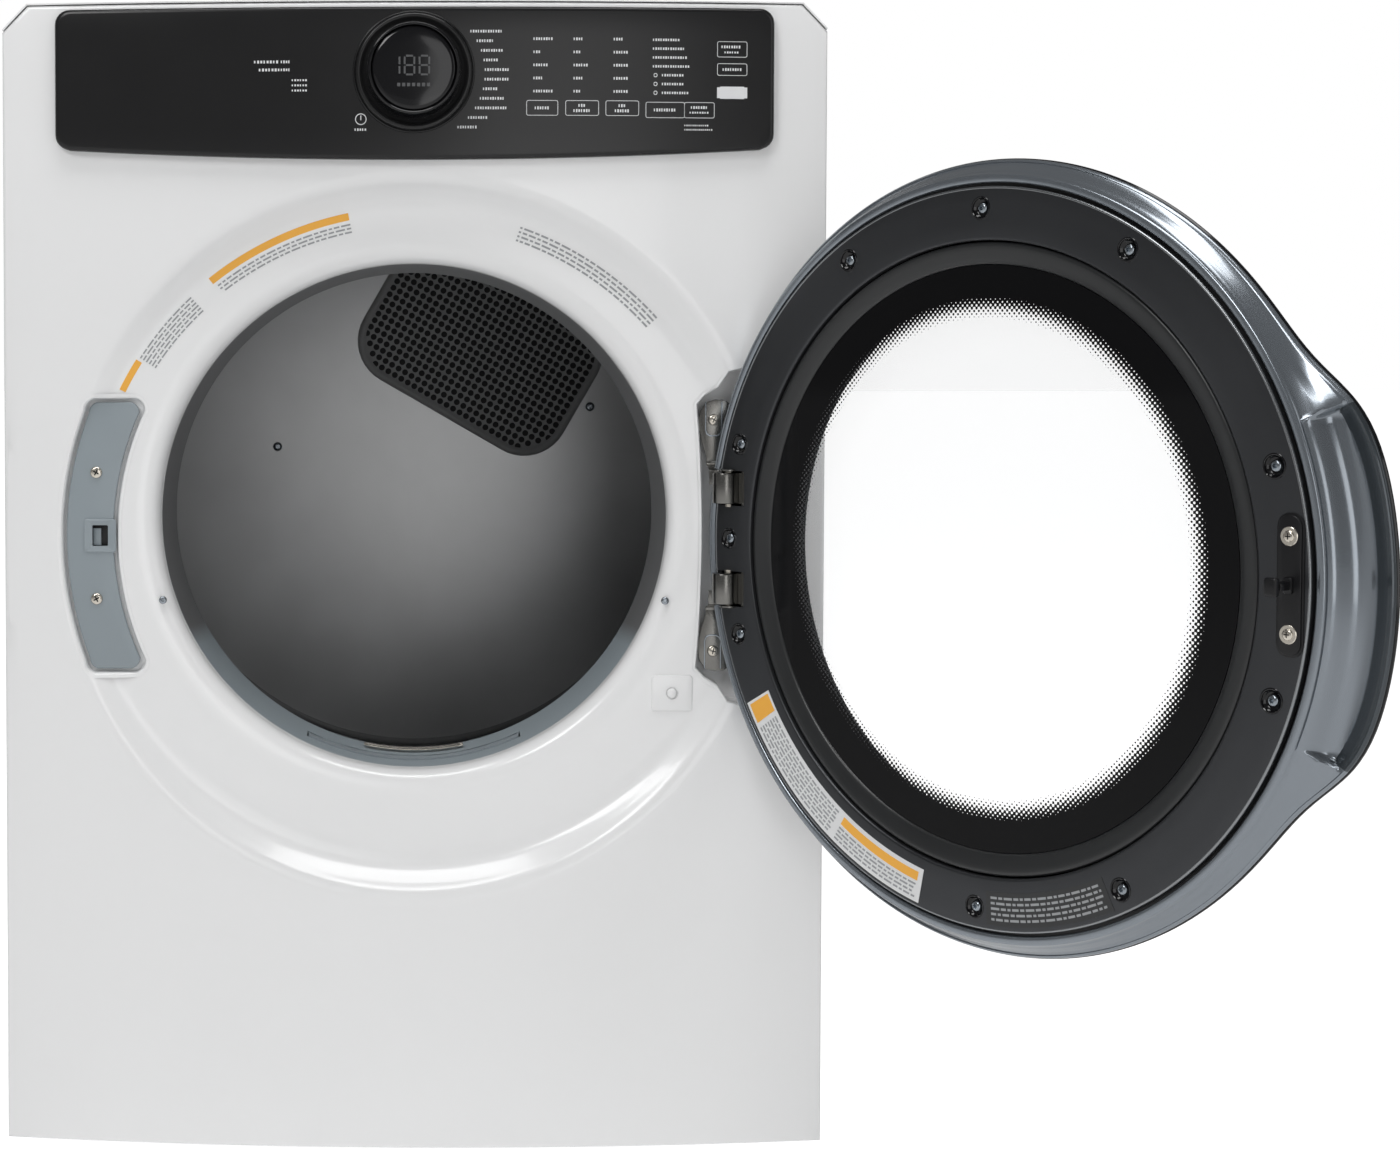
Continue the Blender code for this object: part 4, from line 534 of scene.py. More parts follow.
def front_skin():
    """The pressed front, from the cabinet's edges over the ring's recess into the rolled mouth."""
    rays = 256
    edge = cabinet_edge(rays)
    unit = [Vector(p).normalized() for p in edge]
    rings = []
    for inset, depth in ((0.0, 0.020), (0.0, 0.004), (0.0006, 0.0016), (0.0018, 0.0004), (0.004, 0.0)):
        rings.append([Vector((x * (1 - inset / math.hypot(x, z)), CROWN + bow_at(x) + depth,
                              RING_Z + z * (1 - inset / math.hypot(x, z)))) for x, z in edge])
    for share in (0.85, 0.6, 0.35, 0.15):
        ring = []
        for (x, z), way in zip(edge, unit):
            px, pz = way.x * FIELD * (1 - share) + x * share, way.y * FIELD * (1 - share) + z * share
            ring.append(Vector((px, CROWN + bow_at(px), RING_Z + pz)))
        rings.append(ring)
    for radius in [FIELD, 0.314, 0.309] + [0.3065 - 0.00155 * i for i in range(31)]:
        rings.append([Vector((w.x * radius, CROWN + depth_at(w.x * radius, RING_Z + w.y * radius),
                              RING_Z + w.y * radius)) for w in unit])
    for share, radius, depth in ((0.25, 0.249, FLOOR), (0.6, 0.236, FLOOR), (0.85, 0.2275, FLOOR + 0.0006),
                                 (1.0, 0.2215, FLOOR + 0.0022), (1.0, 0.2178, FLOOR + 0.0046),
                                 (1.0, 0.2152, FLOOR + 0.0078), (1.0, 0.2136, FLOOR + 0.0112),
                                 (1.0, MOUTH, FLOOR + 0.0150), (1.0, MOUTH, FLOOR + 0.0260)):
        centre = RING_Z + (MOUTH_Z - RING_Z) * share
        rings.append([Vector((w.x * radius, CROWN + depth, centre + w.y * radius)) for w in unit])
    piece = loft("front_skin", rings)
    thicken(piece, SHEET, -1)
    face_outwards(piece)
    return piece


def spread(outline, amount):
    """Offset an outline of (x, z) points outwards."""
    area = sum(a[0] * b[1] - b[0] * a[1] for a, b in zip(outline, outline[1:] + outline[:1]))
    way = 1 if area > 0 else -1
    moved = []
    for i, point in enumerate(outline):
        before, after = Vector(outline[i - 1]), Vector(outline[(i + 1) % len(outline)])
        along = (after - before).normalized()
        moved.append((point[0] + way * along.y * amount, point[1] - way * along.x * amount))
    return moved


def hinge_pocket():
    """The pocket's outline: the ring's edge on its right, the hinge's line on its left."""
    half = 0.140
    right = [(math.sqrt(0.3085 ** 2 - z ** 2), z) for z in (half * (i / 10 - 1) for i in range(21))]
    left = [(HINGE.x - 0.0185 - 0.0055 * (z / 0.116) ** 2, z)
            for z in (0.110 * (1 - i / 10) for i in range(21))]
    upper = [(0.262, 0.137), (0.254, 0.124), (0.243, 0.1175)]
    outline = right + upper + left + [(x, -z) for x, z in reversed(upper)]
    return [(x, z + RING_Z) for x, z in outline]


def strike_outline(grow, corner=0.010):
    """A banana-shaped outline that follows the ring."""
    inner, outer, half = STRIKE[0] - grow, STRIKE[1] + grow, STRIKE[2] + grow
    end = half - corner

    def arc(radius, start, stop, steps=24):
        return [(-math.sqrt(radius ** 2 - z ** 2), z) for z in (start + (stop - start) * i / steps
                                                                for i in range(steps + 1))]

    left, right = corner - math.sqrt(outer ** 2 - end ** 2), -math.sqrt(inner ** 2 - end ** 2) - corner
    outline = arc(outer, -end, end)
    outline += bend(left, end, corner, 180, -90)[1:-1] + bend(right, end, corner, 90, -90)[1:-1]
    outline += arc(inner, end, -end)
    outline += bend(right, -end, corner, 0, -90)[1:-1] + bend(left, -end, corner, -90, -90)[1:-1]
    return [(x, z + RING_Z) for x, z in outline]


def pocket_liner(name, outline, floor):
    """The walls and floor of a pocket, with a soft lip that meets the panel's surface."""
    def lip(grow, lower):
        return [Vector((x, CROWN + depth_at(x, z) + lower, z)) for x, z in spread(outline, grow)]

    def level(grow, depth):
        return [Vector((x, CROWN + depth, z)) for x, z in spread(outline, grow)]

    rings = [lip(0.0042, -0.00015), lip(0.0026, 0.0001), lip(0.0012, 0.0008), lip(0.0003, 0.0022),
             lip(0.0, 0.0040), level(0.0, floor - 0.002), level(-0.0006, floor - 0.0006), level(-0.002, floor)]
    piece = loft(name, rings, cap_last=True)
    face_along(piece, -1)
    return done(piece, "cabinet", ENAMEL, smooth=60)


skin_piece = front_skin()
hinge_outline, strike_pocket = hinge_pocket(), strike_outline(0.003)
for outline in (hinge_outline, strike_pocket):
    cut(skin_piece, plate("pocket_cutter", spread(outline, 0.0015), CROWN - 0.02, CROWN + 0.045))
done(skin_piece, "cabinet", ENAMEL, ["front_panel"], smooth=50)
pocket_liner("hinge_pocket_liner", hinge_outline, HINGE_POCKET)
pocket_liner("strike_pocket_liner", strike_pocket, STRIKE_POCKET)


# ---------------------------------------------------------------- console
def console_outline(inset=0.0):
    """The console's outline, with a bowed lower edge and round corners."""
    half, top = FASCIA_HIGH[0] - inset, FASCIA_HIGH[2] - inset
    low, rise = FASCIA_LOW[2] + inset, 0.0097
    corner = 0.012 - inset * 0.5
    side, right = half - corner, low + rise + corner
    lower = [side * (2 * i / 32 - 1) for i in range(33)]
    return ([(x, low + rise * (x / half) ** 2) for x in lower] + bend(side, right, corner, -90)[1:]
            + bend(side, top - corner, corner, 0) + [(side * (1 - 2 * i / 32), top) for i in range(1, 32)]
            + bend(-side, top - corner, corner, 90) + bend(-side, right, corner, 180)[:-1])


def fascia_depth(x):
    return FACE + bow_at(x)


def make_fascia():
    """The console's cover, with a rolled edge and a bowed face."""
    rings = []
    for inset, back in ((0.0, 0.0076), (0.0, 0.0030), (0.0007, 0.0012), (0.0020, 0.0003), (0.0040, 0.0)):
        rings.append([Vector((x, fascia_depth(x) + back, z)) for x, z in console_outline(inset)])
    middle = (FASCIA_LOW[2] + FASCIA_HIGH[2]) / 2
    for share in (0.66, 0.33, 0.0):
        rings.append([Vector((x, fascia_depth(x), middle + (z - middle) * share))
                      for x, z in console_outline(0.004)])
    piece = loft("console_face", rings)
    in_edit_mode(piece, lambda: bpy.ops.mesh.remove_doubles(threshold=0.00002))
    face_along(piece, -1)
    return done(piece, "cabinet", GRAPHITE, ["console_fascia"], smooth=50)


make_fascia()


def word(x, z, letters, height=0.0023, pitch=0.00205, align=0):
    """A line of small upright marks in place of lettering."""
    marks = []
    start = x - align * letters * pitch
    for i in range(letters):
        width = pitch * (0.62 if i % 3 else 0.46)
        left = start + i * pitch
        y = fascia_depth(left) - PRINT_LIFT
        tall = height * (1.0 if i % 2 else 0.88)
        mark = block("mark", (left, y, z - tall / 2), (left + width, y + 0.0002, z + tall / 2))
        marks.append(mark)
    return marks


def frame_box(x0, x1, z0, z1, line=0.00045):
    """A thin printed outline with rounded corners."""
    cx, cz, hx, hz = (x0 + x1) / 2, (z0 + z1) / 2, (x1 - x0) / 2, (z1 - z0) / 2
    outer = rounded_box(hx, hz, 0.0016, (cx, cz), 4)
    inner = rounded_box(hx - line, hz - line, 0.0012, (cx, cz), 4)

    def ring(points, lift):
        return [Vector((x, fascia_depth(x) - lift, z)) for x, z in points]
    piece = loft("outline", [ring(outer, -0.0001), ring(outer, PRINT_LIFT), ring(inner, PRINT_LIFT),
                             ring(inner, -0.0001)])
    face_outwards(piece)
    return [piece]


def pad(x0, x1, z0, z1, strips=10):
    """A filled printed key, in strips that follow the bow."""
    pieces = []
    for i in range(strips):
        left, right = x0 + (x1 - x0) * i / strips, x0 + (x1 - x0) * (i + 1) / strips
        y = fascia_depth(left) - 0.00025
        inset = 0.0006 if i in (0, strips - 1) else 0.0
        pieces.append(block("pad", (left, y, z0 + inset), (right + 0.00005, y + 0.0006, z1 - inset)))
    return pieces


def printed_ring(name, radius, width, centre, segments):
    return turned(name, [(radius, -PRINT_LIFT), (radius + width, -PRINT_LIFT), (radius + width, 0.0001),
                         (radius, 0.0001)], centre, segments)


def console_print():
    """Every printed mark of the console, joined into one piece."""
    marks = []
    cycles = (13, 7, 9, 6, 10, 10, 6, 10, 13, 8, 8)
    for i, letters in enumerate(cycles):
        z = DIAL_Z + 0.033 - 0.078 * i / (len(cycles) - 1)
        bulge = math.sqrt(max(0.0, 0.0545 ** 2 - (z - DIAL_Z + 0.001) ** 2))
        marks += word(0.0035 + bulge, z, letters)
    for x, letters in ((0.0977, (8, 3, 6, 4, 8)), (0.1306, (4, 3, 6, 4, 3)), (0.1635, (4, 6, 6, 6, 6))):
        for row, count in enumerate(letters):
            marks += word(x, DIAL_Z + 0.027 - 0.01065 * row, count)
    for row, count in enumerate((11, 13, 14, 15, 9, 9, 11)):
        z = DIAL_Z + 0.0267 - 0.0072 * row
        icon = row >= 4
        marks += word(0.1958 + (0.0075 if icon else 0), z, count, height=0.0021)
        if icon:
            marks.append(printed_ring("icon", 0.0011, 0.0006, (0.1980, fascia_depth(0.198), z), 16))
    marks += frame_box(0.2490, 0.2740, DIAL_Z + 0.013, DIAL_Z + 0.026)
    marks += word(0.2525, DIAL_Z + 0.0215, 8) + word(0.2550, DIAL_Z + 0.0170, 6, height=0.0016)
    marks += frame_box(0.2490, 0.2740, DIAL_Z - 0.002, DIAL_Z + 0.008)
    marks += word(0.2535, DIAL_Z + 0.003, 8)
    marks += pad(0.2490, 0.2740, DIAL_Z - 0.021, DIAL_Z - 0.011)
    for left, right, letters in ((0.092, 0.118, (6,)), (0.124, 0.1515, (3, 7)), (0.157, 0.1845, (3, 6))):
        marks += frame_box(left, right, DIAL_Z - 0.0355, DIAL_Z - 0.0230)
        for row, count in enumerate(letters):
            z = DIAL_Z - 0.0293 + (0.0021 - 0.0042 * row if len(letters) > 1 else 0)
            marks += word((left + right) / 2, z, count, align=0.5, height=0.0025)
    for left, right in ((0.190, 0.2223), (0.2218, 0.247)):
        marks += frame_box(left, right, DIAL_Z - 0.0370, DIAL_Z - 0.0240)
    marks += word(0.206, DIAL_Z - 0.0305, 9, align=0.5, height=0.0026)
    marks += word(0.2345, DIAL_Z - 0.0283, 7, align=0.5)
    marks += word(0.2345, DIAL_Z - 0.0325, 8, align=0.5, height=0.0016)
    for drop, letters in ((0.0430, 12), (0.0465, 14)):
        marks += word(0.222, DIAL_Z - drop, letters, height=0.0013, pitch=0.0017)
    for x, rise, letters in ((-0.131, 0.0085, 8), (-0.127, 0.0020, 7)):
        marks += word(x, DIAL_Z + rise, letters, height=0.0024, pitch=0.0026) + word(-0.109, DIAL_Z + rise, 4)
    for i in range(3):
        marks += word(-0.1000, DIAL_Z - 0.0065 - 0.0042 * i, 6, height=0.0016, pitch=0.0022)
    power = (-0.0434, fascia_depth(-0.0434), DIAL_Z - 0.0385)
    marks.append(printed_ring("power_ring", 0.0040, 0.0007, power, 32))
    marks.append(block("power_bar", (power[0] - 0.0004, power[1] - 0.00014, power[2] - 0.0008),
                       (power[0] + 0.0004, power[1] + 0.0001, power[2] + 0.0030)))
    marks += word(-0.0434, DIAL_Z - 0.0470, 5, align=0.5, height=0.0021)
    return done(joined("console_marks", marks), "cabinet", PRINT, smooth=0)


console_print()

# dial: base ring, turning ring and display
dial = Vector((0, FACE, DIAL_Z))
base = turned("dial_collar", [
    (0.0310, -0.0004), (0.0310, -0.0268), (0.0338, -0.0272), (0.0340, -0.0040), (0.0408, -0.0036),
    (0.0425, -0.0046), (0.0440, -0.0058), (0.0458, -0.0060), (0.0470, -0.0054), (0.0476, -0.0044),
    (0.0479, -0.0030), (0.0480, -0.0002)],
    dial)
done(base, "cabinet", GRAPHITE, ["dial_base"])
ring_profile = [
    (0.0346, -0.0044), (0.0346, -0.0306), (0.0349, -0.0311), (0.0354, -0.0314), (0.0362, -0.0313),
    (0.0368, -0.0309), (0.0371, -0.0302), (0.0373, -0.0270), (0.0379, -0.0200), (0.0386, -0.0140),
    (0.0392, -0.0085), (0.0397, -0.0055), (0.0395, -0.0046)]
selector = turned("selector_skin", ring_profile, dial, 144)
RIBS, RIB_DEPTH = 72, 0.0045                     # fine ribs round the ring, as a share of its radius
for vertex in selector.data.vertices:
    away = Vector((vertex.co.x - dial.x, 0, vertex.co.z - dial.z))
    if away.length > 0.0370 and vertex.co.y > FACE - 0.029:
        turn = math.atan2(away.z, away.x)
        away *= 1 - RIB_DEPTH * (0.5 + 0.5 * math.cos(RIBS * turn))
        vertex.co.x, vertex.co.z = dial.x + away.x, dial.z + away.z
done(selector, "selector", GLOSS_BLACK, ["selector_ring"])
face_glass = turned("display_glass", [(0.0, -0.0306), (0.020, -0.0305), (0.0300, -0.0302), (0.0332, -0.0297),
                                      (0.0339, -0.0288), (0.0339, -0.0275), (0.0, -0.0275)], dial, 96)
done(face_glass, "cabinet", GLOSS_BLACK, ["display_window"], smooth=50)
halo = turned("dial_halo", [(0.0482, -0.0001), (0.0482, -0.0010), (0.0488, -0.0013), (0.0496, -0.0009),
                            (0.0500, 0.0), (0.0500, 0.0010), (0.0482, 0.0010)], dial)
done(halo, "cabinet", GRAPHITE)


DISPLAY = FACE - 0.0308                           # where the digits lie, just off the glass


def seven_segment(x, z, lit, height=0.0150):
    """One digit from short bars; lit names the bars that show."""
    width, line = height * 0.52, height * 0.10
    tops = {"a": (0, 1), "g": (0, 0), "d": (0, -1)}
    sides = {"f": (-1, 0.5), "b": (1, 0.5), "e": (-1, -0.5), "c": (1, -0.5)}
    bars = []
    for key, (side, up) in {**tops, **sides}.items():
        if key not in lit:
            continue
        bar_x, bar_z = x + side * width / 2, z + up * height / 2
        half_x, half_z = line / 2, height / 4 - line * 0.5
        if key in tops:
            half_x, half_z = width / 2 - line * 0.7, line / 2
        bars.append(block("bar", (bar_x - half_x, DISPLAY, bar_z - half_z),
                          (bar_x + half_x, DISPLAY + 0.0003, bar_z + half_z)))
    return bars


digits = []
for digit_x, lit in ((-0.0155, "bc"), (-0.0035, "abcdefg"), (0.0085, "abcdefg")):
    digits += seven_segment(digit_x, DIAL_Z + 0.002, lit)
for i in range(7):
    left = -0.0135 + 0.0040 * i
    digits.append(block("bar", (left, DISPLAY, DIAL_Z - 0.0150),
                        (left + 0.0026, DISPLAY + 0.0003, DIAL_Z - 0.0122)))
done(joined("display_digits", digits), "cabinet", DIM_PRINT, smooth=0)


# ---------------------------------------------------------------- screws, modelled once and copied
def screw(name, radius, height, recess, lobes=4):
    """A low domed head with a recess, facing -Y, its seat at y=0."""
    dome = ((0.0, 1.0), (0.35, 0.98), (0.65, 0.90), (0.86, 0.70), (0.97, 0.40), (1.0, 0.12), (1.0, 0.0),
            (0.0, 0.0))
    profile = [(radius * out, -height * up) for out, up in dome]
    head = turned(name, profile, (0, 0, 0), 32)
    outline = []
    for i in range(lobes * 8):
        turn = 2 * math.pi * i / (lobes * 8)
        wave = abs(math.cos(turn * lobes / 2)) ** (3 if lobes == 4 else 0.8)
        reach = radius * (recess[0] + recess[1] * wave)
        outline.append((reach * math.cos(turn), reach * math.sin(turn)))
    cut(head, plate("recess", outline, -height * 1.5, -height * 0.25))
    return head


cross_screw = screw("cross_screw", 0.0050, 0.0022, (0.16, 0.42))
star_screw = screw("star_screw", 0.0039, 0.0026, (0.30, 0.16), lobes=6)
reach, width = 0.0029, 0.0008
# A black cross laid at the bottom of a screw head's cross recess: painted shade in the slot.
cross_mark = plate("cross_mark", [
    (reach, width), (width, width), (width, reach), (-width, reach), (-width, width), (-reach, width),
    (-reach, -width), (-width, -width), (-width, -reach), (width, -reach), (width, -width), (reach, -width)],
    -0.00095, -0.0004)
washer = turned("washer", [(0.0030, 0.0), (0.0030, -0.0007), (0.0064, -0.0007), (0.0068, -0.0003), (0.0068, 0.0)],
                (0, 0, 0), 32)


def screws_at(name, finish_used, places, pattern, scale=1.0):
    """Copies of a pattern on the cabinet, each at its own place and turn."""
    copies = [copy_at(pattern, Matrix.Translation(place) @ Matrix.Rotation(turn, 4, 'Y') @ Matrix.Scale(scale, 4))
              for place, turn in places]
    return done(joined(name, copies), "cabinet", finish_used, smooth=40)


# ---------------------------------------------------------------- strike plate and what is in the recess
strike = plate("strike_cover", strike_outline(0.0, 0.009), CROWN + 0.0238, CROWN + 0.0296, 0.0012, 3)
cut(strike, block("catch_cut", (-LATCH - 0.00675, CROWN + 0.01, RING_Z - 0.009),
                  (-LATCH + 0.00675, CROWN + 0.04, RING_Z + 0.009)))
done(strike, "cabinet", SLATE, ["strike_plate"], smooth=40)
outer_catch = rounded_box(0.0135, 0.0140, 0.0022, (-LATCH, RING_Z))
catch_lip = [(0.92 * (x + LATCH) - LATCH, 0.92 * (z - RING_Z) + RING_Z) for x, z in outer_catch]
inner_catch = rounded_box(0.0066, 0.0088, 0.0012, (-LATCH, RING_Z))
catch = loft("catch_frame", [[Vector((x, CROWN + depth, z)) for x, z in outline] for outline, depth in (
    (outer_catch, 0.0240), (outer_catch, 0.0229), (catch_lip, 0.0224), (inner_catch, 0.0236),
    (inner_catch, 0.0290))])
done(catch, "cabinet", SLATE, smooth=30)
# A black sheet behind the catch hole: painted shade inside the catch.
catch_back = block("catch_shade", (-LATCH - 0.0070, CROWN + 0.0292, RING_Z - 0.0092),
                   (-LATCH + 0.0070, CROWN + 0.0298, RING_Z + 0.0092), 0.0003)
done(catch_back, "cabinet", BLACK_PLASTIC)
spring = block("catch_spring", (-LATCH - 0.0062, CROWN + 0.0281, RING_Z - 0.0084),
               (-LATCH + 0.0005, CROWN + 0.0291, RING_Z + 0.0060), 0.0004, 3)
done(spring, "cabinet", SLATE)
STRIKE_SCREWS = [(Vector((-0.2655, STRIKE_FACE, RING_Z + 0.053)), 0.5),
                 (Vector((-0.2655, STRIKE_FACE, RING_Z - 0.053)), 1.1)]
MOUTH_SCREWS = [(Vector((0.210, CROWN + FLOOR, 0.4565)), 0.3), (Vector((-0.210, CROWN + FLOOR, 0.4565)), 0.9)]
screws_at("strike_screws", NICKEL, STRIKE_SCREWS, cross_screw)
screws_at("mouth_screws", SCREW_STEEL, MOUTH_SCREWS, star_screw, 0.85)
# Black crosses in the strike screws' recesses: painted shade.
screws_at("strike_screw_slots", GLOSS_BLACK, STRIKE_SCREWS, cross_mark)
switch_plate = plate("switch_boss", rounded_box(0.017, 0.015, 0.0025, (SWITCH[0], SWITCH[2])),
                     SWITCH[1] - 0.0014, SWITCH[1] + 0.0004, 0.0008, 3)
cut(switch_plate, drill("switch_bore", 0.0052, 0.01, SWITCH, 32))
done(switch_plate, "cabinet", ENAMEL)
plunger = turned("plunger_cap", [(0.0, -0.0035), (0.0026, -0.0032), (0.0039, -0.0022), (0.0044, -0.0008),
                                 (0.0044, 0.0165), (0.0, 0.0165)], SWITCH, 32)
done(plunger, "switch_button", ENAMEL, ["door_switch_plunger"])


def on_ring(points, door):
    """Places (x, z) from (radius, degrees): from +X on the cabinet, from the latch on the door."""
    if door:
        return [(DOOR_CENTRE - radius * math.cos(math.radians(angle)), radius * math.sin(math.radians(angle)))
                for radius, angle in points]
    return [(radius * math.cos(math.radians(angle)), RING_Z + radius * math.sin(math.radians(angle)))
            for radius, angle in points]


def laid_on(piece, look, door):
    """Put a flat label on the door's inner plate, or let it follow the recess of the panel."""
    if door:
        face_outwards(swung(piece))
    else:
        for vertex in piece.data.vertices:
            vertex.co.y += depth_at(vertex.co.x, vertex.co.z) - FLOOR
    return done(piece, "door" if door else "cabinet", look, smooth=0)


def label(name, inner, outer, start, end, look, lift=LABEL_LIFT, door=False):
    """A thin strip along part of a ring."""
    steps = max(8, int(abs(end - start)))
    turns = [start + (end - start) * i / steps for i in range(steps + 1)]
    outline = on_ring([(inner, turn) for turn in turns] + [(outer, turn) for turn in reversed(turns)], door)
    front, back = (-0.0001, lift) if door else (CROWN + FLOOR - lift, CROWN + FLOOR + 0.0001)
    return laid_on(plate(name, outline, front, back), look, door)


def lines_of_type(name, inner, outer, start, end, rows, lift=LABEL_LIFT, door=False):
    """Rows of fine dashes in place of small lettering on a label."""
    strips = []
    pitch = (outer - inner) / rows
    for row in range(rows):
        low, high = inner + pitch * (row + 0.28), inner + pitch * (row + 0.72)
        at = start
        step = 0
        while at < end - 0.4:
            length = (1.3, 0.8, 1.7, 1.0, 0.6)[(step + row) % 5]
            stop = min(at + length, end)
            outline = on_ring([(low, at), (low, stop), (high, stop), (high, at)], door)
            front, back = (lift, -0.0001) if door else (CROWN + FLOOR - lift, CROWN + FLOOR)
            strips.append(plate("dash", outline, front, back))
            at = stop + 0.35
            step += 1
    return laid_on(joined(name, strips), LABEL_GREY, door)


label("orange_band", 0.2685, 0.2745, 101.5, 128.5, LABEL_ORANGE)
lines_of_type("band_type", 0.2570, 0.2665, 101.5, 128.0, 3)
label("small_orange_tag", 0.2690, 0.2745, 147.5, 153.5, LABEL_ORANGE)
lines_of_type("tag_type", 0.2560, 0.2735, 133.0, 147.0, 6)
lines_of_type("side_type", 0.2590, 0.2735, 42.0, 71.0, 4)

# ---------------------------------------------------------------- inside: collar, rear wall, drum
SLOT = 0.0015                                    # clearance round the lint screen
collar = loft("collar_skin", [
    hoop(radius, CROWN + depth, 0.0, MOUTH_Z + rise if radius < 0.26 else DRUM_Z, 160)
    for radius, depth, rise in (
        (0.2156, 0.0445, 0.0), (0.2153, 0.0455, 0.0), (0.2133, 0.0600, 0.0003), (0.2100, 0.0840, 0.0006),
        (0.2070, 0.1040, 0.0010), (0.2066, 0.1065, 0.0010), (0.2083, 0.1090, 0.0010), (0.2140, 0.1110, 0.0010),
        (0.2300, 0.1122, 0.0010), (0.2805, 0.1122, 0.0))])
thicken(collar, 0.0010, 0)
cut(collar, block("slot_cut", (SCREEN_LOW[0] - SLOT, SCREEN_LOW[1] - SLOT, 0.25),
                  (SCREEN_HIGH[0] + SLOT, SCREEN_HIGH[1] + SLOT, 0.42)))
done(collar, "cabinet", COLLAR, smooth=40)
for end in ("front", "rear"):
    node = "moisture_sensor_" + end
    low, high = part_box(node)
    turns = [math.radians(-12 + i) for i in range(25)]
    outline = [(radius * math.sin(turn), MOUTH_Z + 0.001 - radius * math.cos(turn))
               for radius, way in ((0.2066, turns), (0.2054, turns[::-1])) for turn in way]
    done(plate("sensor_bar_" + end, outline, low[1], high[1], 0.0004), "cabinet", NICKEL, [node])

wall_front = GRILLE_HIGH[1] + 0.0012
rear_skin = loft("rear_wall_skin", [hoop(radius, wall_front + y, 0.0, DRUM_Z, 128) for radius, y in (
    (0.2990, 0.0), (0.2950, 0.0), (0.2925, -0.0015), (0.2895, -0.0022), (0.2860, -0.0015), (0.2830, 0.0),
    (0.2200, 0.0), (0.1300, 0.0), (0.0600, 0.0), (0.0100, 0.0))], cap_last=True)
face_along(rear_skin, -1)
done(rear_skin, "cabinet", DRUM_ZINC, smooth=40)

GRILLE_X, GRILLE_Z = (GRILLE_LOW[0] + GRILLE_HIGH[0]) / 2, (GRILLE_LOW[2] + GRILLE_HIGH[2]) / 2 + 0.007
TILT = math.radians(-30)
HOLE_PITCH = 0.0082


def tilted(x, z):
    """From the grille's own frame to its place on the rear wall."""
    return (GRILLE_X + x * math.cos(TILT) - z * math.sin(TILT),
            GRILLE_Z + x * math.sin(TILT) + z * math.cos(TILT))


rim_y = wall_front - 0.0005
grille_rings = []
for grow, lift in ((0.004, 0.0004), (0.0030, -0.0008), (0.0010, -0.0022), (-0.0015, -0.0026), (-0.0040, -0.0020),
                   (-0.0055, -0.0012), (-0.0080, -0.0010)):
    shape = [tilted(x, z) for x, z in rounded_box(0.123 + grow, 0.083 + grow, 0.046 + grow, steps=10)]
    grille_rings.append([Vector((x, rim_y + lift, z)) for x, z in shape])
grille = loft("grille_face", grille_rings, cap_last=True)
face_along(grille, -1)
done(grille, "cabinet", GRILLE_PAINT, ["inlet_grille"], smooth=40)
# The grille's face is not cut through: dark discs laid on it are painted shade in place of the holes.
holes = []
hole = turned("hole", [(0.0, -0.0002), (0.0033, -0.0002), (0.0033, 0.0005), (0.0, 0.0005)], (0, 0, 0), 12)
for row in range(-9, 10):
    for column in range(-14, 15):
        x, z = HOLE_PITCH * column, HOLE_PITCH * row
        past_corner = math.hypot(max(0.0, abs(x) - 0.080), max(0.0, abs(z) - 0.040))
        if abs(x) > 0.1165 or abs(z) > 0.0755 or past_corner > 0.0365:
            continue
        hole_x, hole_z = tilted(x, z)
        holes.append(copy_at(hole, Matrix.Translation((hole_x, rim_y - 0.0011, hole_z))))
bpy.data.objects.remove(hole)
done(joined("grille_holes", holes), "cabinet", HOLE_PAINTED_SHADE, smooth=40)
WALL_SCREWS = ((0.193, 0.604), (-0.063, 0.752), (-0.150, 0.560), (0.040, 0.790))
screws_at("rear_wall_screws", SCREW_STEEL, [(Vector((x, wall_front - 0.0004, z)), 0.4) for x, z in WALL_SCREWS],
          star_screw, 1.3)

drum_front, drum_back = DRUM_LOW[1], DRUM_HIGH[1]
inside = [(0.2970, drum_front), (0.2970, drum_front + 0.0235), (0.2985, drum_front + 0.0262),
          (0.3205, drum_front + 0.0345), (0.3222, drum_front + 0.0375)]
for middle in (0.22, 0.50, 0.78):                # three shallow grooves along the drum
    for share, groove in ((middle - 0.02, 0.0), (middle, 0.0016), (middle + 0.02, 0.0)):
        inside.append((0.3223 - groove, drum_front + (drum_back - drum_front) * share))
inside += [(0.3222, drum_back - 0.0375), (0.3205, drum_back - 0.0345), (0.3085, drum_back - 0.0262),
           (0.3070, drum_back - 0.0235), (0.3070, drum_back)]
outside = [(radius + SHEET, y) for radius, y in reversed(inside)]
drum_skin = turned("drum_skin", inside + outside, (0, 0, DRUM_Z), 160)
done(drum_skin, "drum_body", DRUM_ZINC, ["drum"], smooth=30)
half_section = [(0.006, 0.2610), (0.013, 0.2645), (0.020, 0.2760), (0.030, 0.2980), (0.043, 0.3150),
                (0.047, 0.3196)]
section = [(-x, radius) for x, radius in reversed(half_section)] + half_section
for number in range(1, 4):
    node = f"drum_baffle_{number}"
    turn = math.radians(120 * number - 30)
    low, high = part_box(node)
    ends = ((0.001, 0.80), (0.004, 0.50), (0.012, 0.22), (0.030, 0.06), (0.060, 0.0))
    stations = [(low[1] + y, fall) for y, fall in ends] + [(high[1] - y, fall) for y, fall in reversed(ends)]
    rings = []
    for y, fall in stations:
        ring = []
        for x, radius in section:
            reach = radius + (0.3190 - radius) * fall
            ring.append(Vector((x * math.sin(turn) + reach * math.cos(turn), y,
                                DRUM_Z + reach * math.sin(turn) - x * math.cos(turn))))
        rings.append(ring)
    baffle = loft(f"lifter_{number}", rings, cap_first=True, cap_last=True)
    soften(baffle, 0.0015, 2, 40)
    done(baffle, "drum_body", SLATE, [node], smooth=50)

